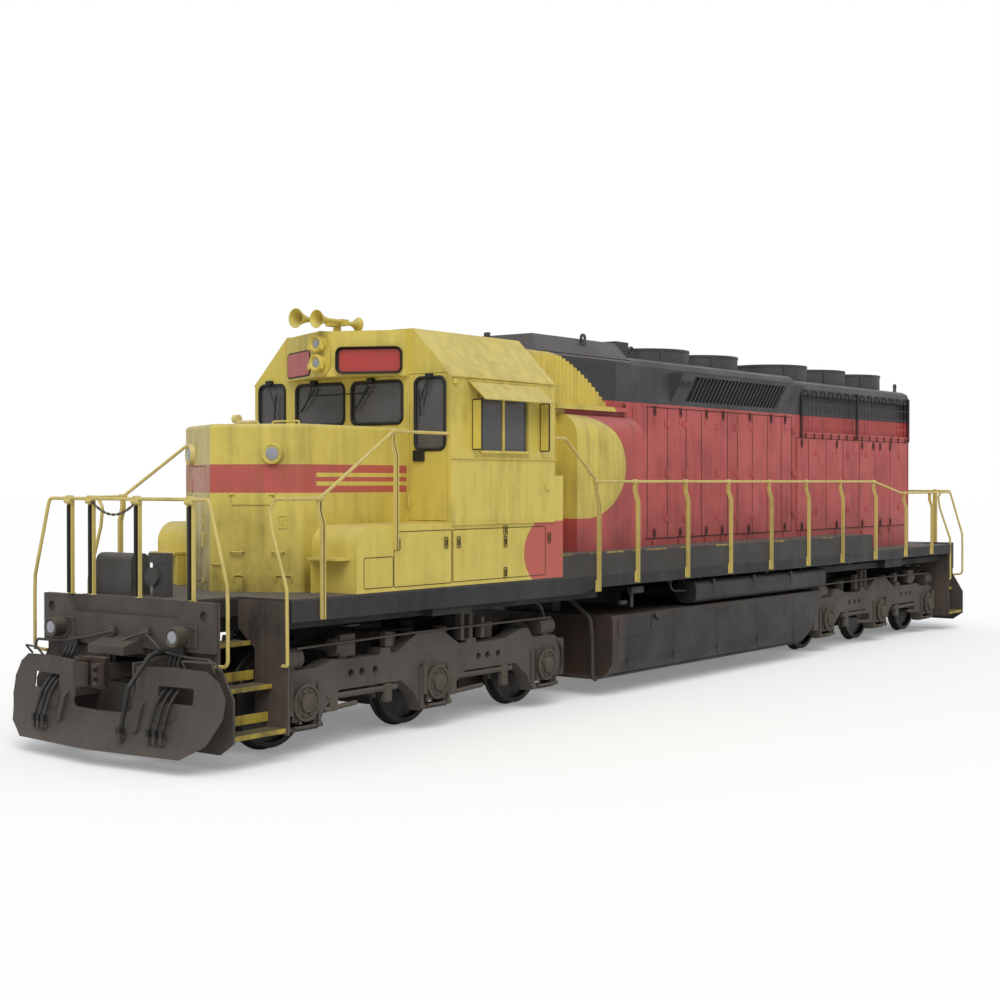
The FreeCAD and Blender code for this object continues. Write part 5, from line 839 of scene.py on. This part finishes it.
# side posts: place along, foot, top
LONG_POSTS = tuple((x, 1.465, 2.775) for x in (2.297, 1.007, -0.203, -1.453, -2.703, -3.943, -5.243))
HOOD_POSTS = ((3.217, 1.395, 2.775), *LONG_POSTS, (-6.523, 1.465, 2.575), (-7.703, 1.465, 2.575))
joints = []
for way in (1, -1):
    for x, foot, top in HOOD_POSTS:
        joints.append(brick((x - 0.05, x + 0.05), span(way, 1.52, 1.538), (foot, foot + 0.14), 0.003))
        for z in (foot + 0.03, foot + 0.11):
            for off in (-0.036, 0.036):
                joints.append(bar((x + off, way * 1.535, z), (x + off, way * 1.548, z), 0.009, 6, 0))
one_piece("stanchion_feet", joints, "frame", rail_enamel)

# --------------------------------------------------------------------------- underframe
# Rolled and plate steel under the deck, painted black and coated in years of oil and brake dust.
underframe_black = worn("underframe_black", only("#201f1e"), soot="#0f0e0e", dust="#4d4843",
                        soiled=0.6, dusted=0.4, rough=0.7, low_darkening=0.3)
dress(["centre_sill", "centre_plates", "cross_members", "draft_gear"], underframe_black)


def tank_colours(tree, x, y, z):
    """Black, and scaled brown ahead of the tank."""
    front = test(tree, x, "GREATER_THAN", 2.55)
    return choose(tree, front, linear("#242322"), linear("#44352c"))


tank_steel = worn("tank_steel", tank_colours, soot="#191817", dust="#5d5148", soiled=0.5, dusted=0.4,
                  rough=0.5, low_darkening=0.5)
dress(["fuel_tank", "air_reservoirs"], tank_steel)

# --------------------------------------------------------------------------- trucks and wheels
# Cast steel side frames and gear with a baked coat of grey-brown brake dust and oil; wheels of forged
# steel.
truck_cast = worn("truck_cast_steel", only("#514c48"), soot="#2b2724", dust="#7d756b", soiled=0.35,
                  dusted=0.45, rough=0.75, low_darkening=0.3)
journal_cast = worn("journal_cast_steel", only("#50483f"), soot="#27221f", dust="#7f766a", soiled=0.35,
                    dusted=0.5, rough=0.7, low_darkening=0.3)
dress(["truck_frame_front", "truck_frame_rear"], truck_cast)
dress(["truck_gear_front", "truck_gear_rear"], journal_cast)
wheel_steel = worn("wheel_steel", only("#3c3a39"), soot="#1a1817", dust="#5d554d", soiled=0.6,
                   dusted=0.2, rough=0.42, low_darkening=0.5, metal=0.55)
dress([f"wheelset_{number}" for number in range(1, 7)], wheel_steel)

# --------------------------------------------------------------------------- plow, ends and couplers
# Plow and end plates of thick plate in a faded black coat browned by road dirt; couplers and their
# gear of bare cast steel with a thin skin of rust.
pilot_coat = worn("pilot_enamel", only("#48413c"), soot="#2a2522", dust="#665d54", soiled=0.4,
                  dusted=0.45, rough=0.6, low_darkening=0.25)
dress(["snow_plow", "end_plates"], pilot_coat)
coupler_cast = worn("coupler_cast_steel", only("#3d332d"), soot="#1a1613", dust="#7a6350", soiled=0.6,
                    dusted=0.4, rough=0.7, low_darkening=0.3)
dress(["coupler_front", "coupler_rear", "knuckle_front", "knuckle_rear"], coupler_cast)


def hose_colours(tree, x, y, z):
    """Black rubber, with brown cast coupling heads at the ends."""
    return choose(tree, test(tree, z, "LESS_THAN", 0.352), linear("#191919"), linear("#3f3a30"))


hose_rubber = worn("hose_rubber", hose_colours, soot="#0d0d0d", dust="#5f5a52", soiled=0.3, dusted=0.4,
                   rough=0.6, low_darkening=0.2)
dress(["end_hoses"], hose_rubber)


def step_colours(tree, x, y, z):
    """Brown-grey panels, and treads whose worn yellow has gone dusty."""
    along = add(tree, "Math", [(0, x)], operation="ABSOLUTE").outputs[0]
    return choose(tree, test(tree, along, "GREATER_THAN", 8.68), linear("#5d5048"), linear("#6b6238"))


step_coat = worn("step_enamel", step_colours, soot="#1c1a18", dust="#6a6258", soiled=0.6, dusted=0.5,
                 rough=0.65, low_darkening=0.5)
dress(["steps"], step_coat)
platform_coat = worn("platform_box_enamel", only("#3f3e3e"), soot="#1f1e1d", dust="#7a746a",
                     soiled=0.4, dusted=0.4, rough=0.55, low_darkening=0.2)
dress(["platform_boxes"], platform_coat)
# treads: outer edge, inner edge, top
TREADS = ((0.98, 0.77, 1.18), (1.28, 1.03, 0.77), (1.47, 1.23, 0.345))
lips = []
for end in (1, -1):
    for way in (1, -1):
        for outer, inner, top in TREADS:
            lips.append(brick(span(end, 8.682, 9.37), span(way, outer - 0.012, outer + 0.006),
                              (top - 0.04, top + 0.004), 0.003))
            lips.append(brick(span(end, 9.355, 9.374), span(way, inner, outer),
                              (top - 0.04, top + 0.004), 0.003))
        for y, z in ((1.02, 0.86), (1.222, 0.46)):
            lips.append(brick(span(end, 8.68, 9.374), span(way, y - 0.006, y + 0.006),
                              (z - 0.06, z + 0.035), 0.003))
step_yellow = worn("step_edge_paint", only("#b39c33"), soot="#3b3420", dust="#a39a78", soiled=0.7,
                   dusted=0.3, rough=0.55, low_darkening=0.4)
one_piece("step_edges", lips, "frame", step_yellow)

# --------------------------------------------------------------------------- cab interior
# Padded seats in grey cloth on plain pedestals, and the driver's desk of painted sheet.
interior_paint = worn("interior_enamel", only("#5d6458"), soot="#2e302b", dust="#8c8c80", soiled=0.3,
                      dusted=0.2, rough=0.5, low_darkening=0)
dress(["control_desk"], interior_paint)
seat_cloth = worn("seat_cloth", only("#3f4650"), soot="#1d2024", dust="#757a80", soiled=0.3,
                  dusted=0.3, rough=0.9, low_darkening=0)
dress(["cab_seats"], seat_cloth)

# --------------------------------------------------------------------------- post linings
# The rolled channel posts have dark linings in their troughs; the rails pass through clamps at the
# posts' heads.  TROUGH is half a trough's width.
TROUGH = 0.0115
SIDE_POSTS = ((8.23, 1.395, 2.605), *HOOD_POSTS, (7.107, 2.055, 3.305))
# end posts: places across
END_POSTS = (-0.9, -0.56, 0.15, 0.93)


def trough(x, foot, top, way):
    """The lining of a side post's trough, cranked as the post is."""
    outline = [(0.016, foot + 0.004), (0.024, foot + 0.004), (0.024, top - 0.262), (-0.021, top - 0.122),
               (-0.021, top - 0.034), (-0.029, top - 0.034), (-0.029, top - 0.125), (0.016, top - 0.265)]
    corners = [(x - TROUGH, way * (CAB_FACE + out), z) for out, z in outline]
    piece = drawn("trough", corners, [], [range(len(corners))])
    bpy.ops.object.mode_set(mode="EDIT")
    bpy.ops.mesh.select_all(action="SELECT")
    bpy.ops.mesh.extrude_region_move(TRANSFORM_OT_translate={"value": (2 * TROUGH, 0, 0)})
    bpy.ops.mesh.select_all(action="SELECT")
    bpy.ops.mesh.normals_make_consistent(inside=False)
    bpy.ops.object.mode_set(mode="OBJECT")
    return piece


linings = []
for way in (1, -1):
    linings += [trough(x, foot, top, way) for x, foot, top in SIDE_POSTS]
for end in (1, -1):
    for y in END_POSTS:
        linings.append(brick(span(end, 9.406, 9.4335), (y - 0.0385, y - 0.008), (1.63, 2.53), 0))
dark_steel = worn("dark_fitting_steel", only("#1d1a18"), soot="#0b0a0a", dust="#4a433c", soiled=0.5,
                  dusted=0.2, rough=0.7, low_darkening=0.3)
one_piece("post_linings", linings, "frame", dark_steel)
clamps = []
for way in (1, -1):
    for x, foot, top in SIDE_POSTS:
        clamps.append(bar((x - 0.045, way * 1.505, top), (x + 0.045, way * 1.505, top), 0.028, 16, 0.004))
for end in (1, -1):
    for y in END_POSTS:
        clamps.append(bar((end * 9.44, y - 0.05, 2.575), (end * 9.44, y + 0.05, 2.575), 0.029, 16, 0.004))
one_piece("rail_clamps", clamps, "frame", rail_enamel)

# --------------------------------------------------------------------------- pilot gear
# Forged cutting levers on brackets, plow grab irons, lamp back plates and pipe clusters, all under
# the pilot's browned coat.


def plow_face(share, y):
    """How far forward the plow's curved face is, that share of its height up and at y across."""
    return 9.95 - 0.2 * share - 0.28 * share * (1 - share) - 0.1 * abs(y)


gear = []
for way in (1, -1):
    y = way * LOW_Y
    gear.append(brick((9.459, 9.478), (y - 0.15, y + 0.15), (1.17, 1.385), 0.006))
    for off in (-0.125, 0.125):
        for z in (1.195, 1.36):
            gear.append(bar((9.47, y + off, z), (9.49, y + off, z), 0.012, 6, 0.002))
    gear.append(grab_iron((9.62, way * 1.08, 0.985), (9.5, way * 1.42, 0.975), (0.07, way * 0.02, 0.09)))
# the cutting levers' brackets
for y, z in ((-0.16, 1.273), (0.354, 1.292)):
    gear += [brick((9.455, 9.5), (y - 0.035, y + 0.035), (z - 0.05, z + 0.05), 0.008),
             bar((9.49, y - 0.05, z), (9.49, y + 0.05, z), 0.025, 12)]
# the cutting levers: to the right step, to the coupler and to the left step
for lever in ([(9.5, -0.16, 1.273), (9.5, -0.519, 1.201), (9.5, -0.823, 1.15), (9.5, -1.084, 1.13),
               (9.5, -1.35, 1.13), (9.5, -1.38, 1.02)],
              [(9.5, 0.354, 1.292), (9.52, 0.144, 1.23), (9.6, 0.02, 1.16), (9.68, -0.05, 1.06)],
              [(9.5, 0.354, 1.292), (9.5, 0.6, 1.12), (9.5, 1.0, 1.08), (9.5, 1.3, 1.08), (9.5, 1.34, 0.96)]):
    gear.append(pipe(lever, 0.014, 0.04))
# the tab and the cheek plates beside the coupler
gear.append(brick((9.4, 9.425), (0.42, 0.6), (0.93, 1.0), 0.006))
for cheek in ((0.42, 0.44), (-0.46, -0.44)):
    gear.append(brick((9.4, 9.72), cheek, (0.62, 1.02), 0.006))
# the flap's outline on the plow: places across and up
FLAP = ((0.72, 0.66), (0.72, 0.48), (0.98, 0.48), (1.02, 0.56), (1.02, 0.66))
for way in (1, -1):
    # the pipe ends above the hoses
    for step in range(4):
        y = way * (0.72 + 0.055 * step)
        gear.append(bar((9.44, y, 1.175), (9.5, y, 1.175), 0.016, 10, 0.002))
    flap = [(plow_face((z - 0.165) / 0.835, y) + 0.004, way * y, z) for y, z in FLAP]
    gear.append(pipe(flap, 0.006, 0.01, False, 1))
one_piece("pilot_gear", gear, "frame", pilot_coat)
heads = []
for foot in (0.795, 0.88, 0.965):
    for way in (1, -1):
        place = (plow_face(0.18, foot) + 0.026, way * foot, 0.3)
        heads.append(turned([(0.0, -0.016), (0.026, -0.014), (0.03, 0.0), (0.026, 0.014), (0.0, 0.016)],
                            place, (1, way * 0.5, 0), 14))
gladhand = worn("gladhand_iron", only("#4f493b"), soot="#211d18", dust="#8a7c62", soiled=0.5,
                dusted=0.4, rough=0.6, low_darkening=0.3)
one_piece("hose_heads", heads, "frame", gladhand)

# --------------------------------------------------------------------------- shade plates and underfloor
# Black plates hang inside both sills over the trucks as painted shade under the deck, with the cooling
# air ducts between them.
# Welded and bolted below: air and fuel lines, and the tank's gauge plates, filler, seams and hangers.
shade_plates_and_ducts = []
for way in (1, -1):
    for end in (1, -1):
        # painted shade: black plates inside the sills, filling the gap under the deck where only shadow shows
        shade_plates_and_ducts.append(brick(span(end, 3.0, 8.62), span(way, 1.36, 1.375), (1.305, 1.4), 0.003))
        for near, far in ((4.3, 4.9), (5.2, 5.9), (6.3, 7.0), (7.3, 8.0)):
            shade_plates_and_ducts.append(brick(span(end, near, far), span(way, 0.42, 0.9), (1.3, 1.42), 0.01))
one_piece("under_deck_shade_plates_and_ducts", shade_plates_and_ducts, "frame", underframe_black)
# lines down to the trucks and the tank: radius, bend, and places along, across and up
LINES = ((0.021, 0.06, ((4.186, 1.15, 1.4), (4.15, 1.17, 1.33), (3.977, 1.19, 1.253), (3.913, 1.19, 1.1))),
         (0.017, 0.07, ((3.698, 1.22, 0.824), (3.6, 1.25, 0.7), (3.6, 1.25, 0.45), (3.763, 1.2, 0.332))),
         (0.03, 0.07, ((3.856, 0.9, 1.4), (3.6, 0.9, 1.3), (2.94, 0.9, 1.265), (2.94, 1.232, 1.023),
                       (2.94, 1.263, 0.742), (2.94, 1.263, 0.25), (2.86, 1.263, 0.235))),
         (0.018, 0.05, ((1.231, 1.4, 1.4), (1.2, 1.38, 1.33), (1.018, 1.33, 1.269), (0.638, 1.33, 1.261))))
lines = []
for way in (1, -1):
    for radius, bend, route in LINES:
        lines.append(pipe([(x, way * y, z) for x, y, z in route], radius, bend))
    lines.append(brick((2.0, 2.3), span(way, 1.38, 1.46), (1.31, 1.4), 0.01))
    lines.append(bar((2.256, way * 1.42, 1.131), (2.256, way * 1.42, 1.33), 0.025, 12))
    lines.append(bar((2.36, way * 1.4, 1.199), (2.5, way * 1.4, 1.199), 0.03, 12))
line_iron = worn("pipe_iron", only("#3a3632"), soot="#1c1a18", dust="#6d6256", soiled=0.6, dusted=0.4,
                 rough=0.65, low_darkening=0.4)
one_piece("underframe_pipes", lines, "frame", line_iron)
tank_bits = []
for way in (1, -1):
    # gauge plates, the filler, seams and hangers
    for x, z, wide, high in ((1.78, 1.0, 0.24, 0.34), (2.31, 0.88, 0.78, 0.24)):
        tank_bits.append(brick((x - wide / 2, x + wide / 2), span(way, 1.49, 1.512),
                               (z - high / 2, min(z + high / 2, 1.03)), 0.01, 2))
    tank_bits.append(bar((1.78, way * 1.5, 0.98), (1.78, way * 1.545, 1.0), 0.05, 16, 0.006))
    for x in (2.45, 1.3, 0.1, -1.1, -2.3):
        tank_bits.append(brick((x - 0.006, x + 0.006), span(way, 1.49, 1.503), (0.33, 1.02), 0.002))
    for x in (0.2, -1.0, -2.2):
        tank_bits.append(brick((x - 0.03, x + 0.03), span(way, 1.2, 1.508), (1.2, 1.405), 0.006))
one_piece("tank_fittings", tank_bits, "frame", tank_steel)

# --------------------------------------------------------------------------- truck details
# Cast and forged steel gear bolted to the trucks: bearing covers, brake rods with their clevises,
# air pipes, brackets and brake cylinders, and the motors that hang between the wheels.
TRUCK_X = 6.096
AXLES = (2.11, 0, -2.11)
AXLE_Z = 0.533
CAP = [(0.0, 0.012), (0.06, 0.012), (0.075, 0.002), (0.075, -0.02)]
CAP_RING = [(0.155, -0.012), (0.185, -0.012), (0.19, 0.004), (0.16, 0.01), (0.155, -0.012)]
CAP_BOLTS = 0.125
CYLINDER = [(0.0, 0.09), (0.08, 0.09), (0.09, 0.08), (0.09, -0.1), (0.0, -0.1)]
# brake rods, from the truck's middle: upper rod's ends, lower rod's ends, heights of the two
RODS = ((1.74, 0.63, 1.78, 1.29, 0.54, 0.41), (-0.24, -1.47, -0.27, -0.89, 0.548, 0.372))
# brackets on the side frame, from the truck's middle: ends, foot, top
BRACKETS = ((1.294, 1.534, 0.94, 1.17), (0.694, 0.814, 0.985, 1.146), (-0.566, -0.5, 0.95, 1.27),
            (-0.72, -0.66, 0.95, 1.25), (-0.946, -0.88, 0.95, 1.2))


def bearing(x, way):
    """The bolted cover, its ring, and the guides beside and under one axle's bearing."""
    made = [turned(CAP, (x, way * 1.325, AXLE_Z), (0, way, 0), 20),
            turned(CAP_RING, (x, way * 1.3, AXLE_Z), (0, way, 0), 28)]
    for step in range(8):
        turn = math.tau * (step + 0.5) / 8
        bolt_x, bolt_z = x + CAP_BOLTS * math.cos(turn), AXLE_Z + CAP_BOLTS * math.sin(turn)
        made.append(bar((bolt_x, way * 1.295, bolt_z), (bolt_x, way * 1.318, bolt_z), 0.016, 6, 0.002))
    for guide in (x - 0.235, x + 0.235):
        made.append(brick((guide - 0.022, guide + 0.022), span(way, 1.225, 1.262), (0.3, 0.72), 0.008))
        made.append(brick((guide - 0.035, guide + 0.035), span(way, 1.225, 1.275), (0.26, 0.31), 0.008))
    made.append(brick((x - 0.15, x + 0.15), span(way, 1.24, 1.3), (0.275, 0.3), 0.008))
    return made


def rod(ends, y, heights, radius):
    """A brake rod between two places along the truck."""
    return pipe([(ends[0], y, heights[0]), (ends[1], y, heights[1])], radius, 0, False, 3)


for end, truck in ((1, "truck_front"), (-1, "truck_rear")):
    parts, motors = [], []
    middle = end * TRUCK_X
    for way in (1, -1):
        for off in AXLES:
            parts += bearing(middle + off, way)
        for start, stop, low_start, low_stop, z, low in RODS:
            parts.append(rod((middle + end * start, middle + end * stop), way * 1.21, (z, z), 0.032))
            parts.append(rod((middle + end * low_start, middle + end * low_stop), way * 1.22,
                             (low, low + 0.03), 0.026))
            for off in (start - 0.1, stop + 0.15):
                x = middle + end * off
                parts.append(brick((x - 0.06, x + 0.06), span(way, 1.17, 1.245),
                                   (low - 0.02, z + 0.05), 0.012))
        parts.append(pipe([(middle + end * off, way * 1.245, z)
                           for off, z in ((2.2, 1.083), (0.425, 1.108), (-2.25, 1.101))], 0.012, 0.02))
        for low, high, foot, top in BRACKETS:
            parts.append(brick(span(end, TRUCK_X + low, TRUCK_X + high), span(way, 1.13, 1.225),
                               (foot, top), 0.008))
        for low, high in ((1.234, 1.414), (-0.736, -0.566)):
            parts.append(brick(span(end, TRUCK_X + low, TRUCK_X + high), span(way, 1.1, 1.23),
                               (1.25, 1.268), 0.004))
        for off in (0.55, -0.35, -1.2):
            parts.append(turned(CYLINDER, (middle + end * off, way * 1.02, 1.03), (0, 0, 1), 20))
    # each motor hangs beside its axle, with the duct for its cooling air on top
    for off, toward in ((2.11, -1), (0, -1), (-2.11, 1)):
        x = TRUCK_X + off
        motors.append(brick(span(end, x + toward * 0.16, x + toward * 0.82), (-0.46, 0.46),
                            (0.34, 0.99), 0.05, 3))
        motors.append(brick(span(end, x + toward * 0.52, x + toward * 0.78), (-0.3, 0.3),
                            (0.9, 1.135), 0.03, 2))
    one_piece(f"{truck}_rigging", parts, truck, journal_cast)
    one_piece(f"{truck}_motors", motors, truck, underframe_black)

# --------------------------------------------------------------------------- cab seats
# Foam cushions under sewn cloth, puffed between their welts, on the plain metal pedestals.
# seats: places along and across
SEATS = ((5.05, -1.05), (5.05, 1.0), (4.65, 0.35))
cushions, stems = [], []
for x, y in SEATS:
    for along, across, height in (((x - 0.14, x + 0.23), (y - 0.23, y + 0.23), (2.735, 2.845)),
                                  ((x - 0.235, x - 0.135), (y - 0.22, y + 0.22), (2.85, 3.385))):
        pad = brick(along, across, height, 0.028, 2)
        take(pad)
        puff = pad.modifiers.new("puff", "SUBSURF")
        puff.levels = puff.render_levels = 1
        bpy.ops.object.modifier_apply(modifier=puff.name)
        bpy.ops.object.shade_smooth_by_angle(angle=math.radians(60))
        cushions.append(pad)
    stems += [bar((x, y, 2.335), (x, y, 2.735), 0.045, 20),
              bar((x, y, 2.335), (x, y, 2.355), 0.14, 24, 0.006),
              brick((x - 0.2, x + 0.2), (y - 0.2, y + 0.2), (2.715, 2.737), 0.006),
              brick((x - 0.2, x - 0.17), (y - 0.03, y + 0.03), (2.72, 3.0), 0.006)]
seat_pads = one_piece("seat_cushions", cushions, "frame", seat_cloth)
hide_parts("cab_seats")
seat_stems = one_piece("seat_stems", stems, "frame", interior_paint)
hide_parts("cab_seats")
GAUGE = [(0.0, 0.004), (0.052, 0.004), (0.056, 0.01), (0.062, 0.01), (0.062, -0.01)]
desk = []
for y in (-0.66, -0.5, -0.34):
    desk.append(turned(GAUGE, (5.51, y, 3.32), (-0.832, 0, 0.555), 20))
for y in (-0.6, -0.45, -0.3):
    desk.append(pipe([(5.43, y, 3.12), (5.35, y, 3.16), (5.31, y, 3.16)], 0.012, 0.015))
one_piece("desk_controls", desk, "frame", dark_steel)
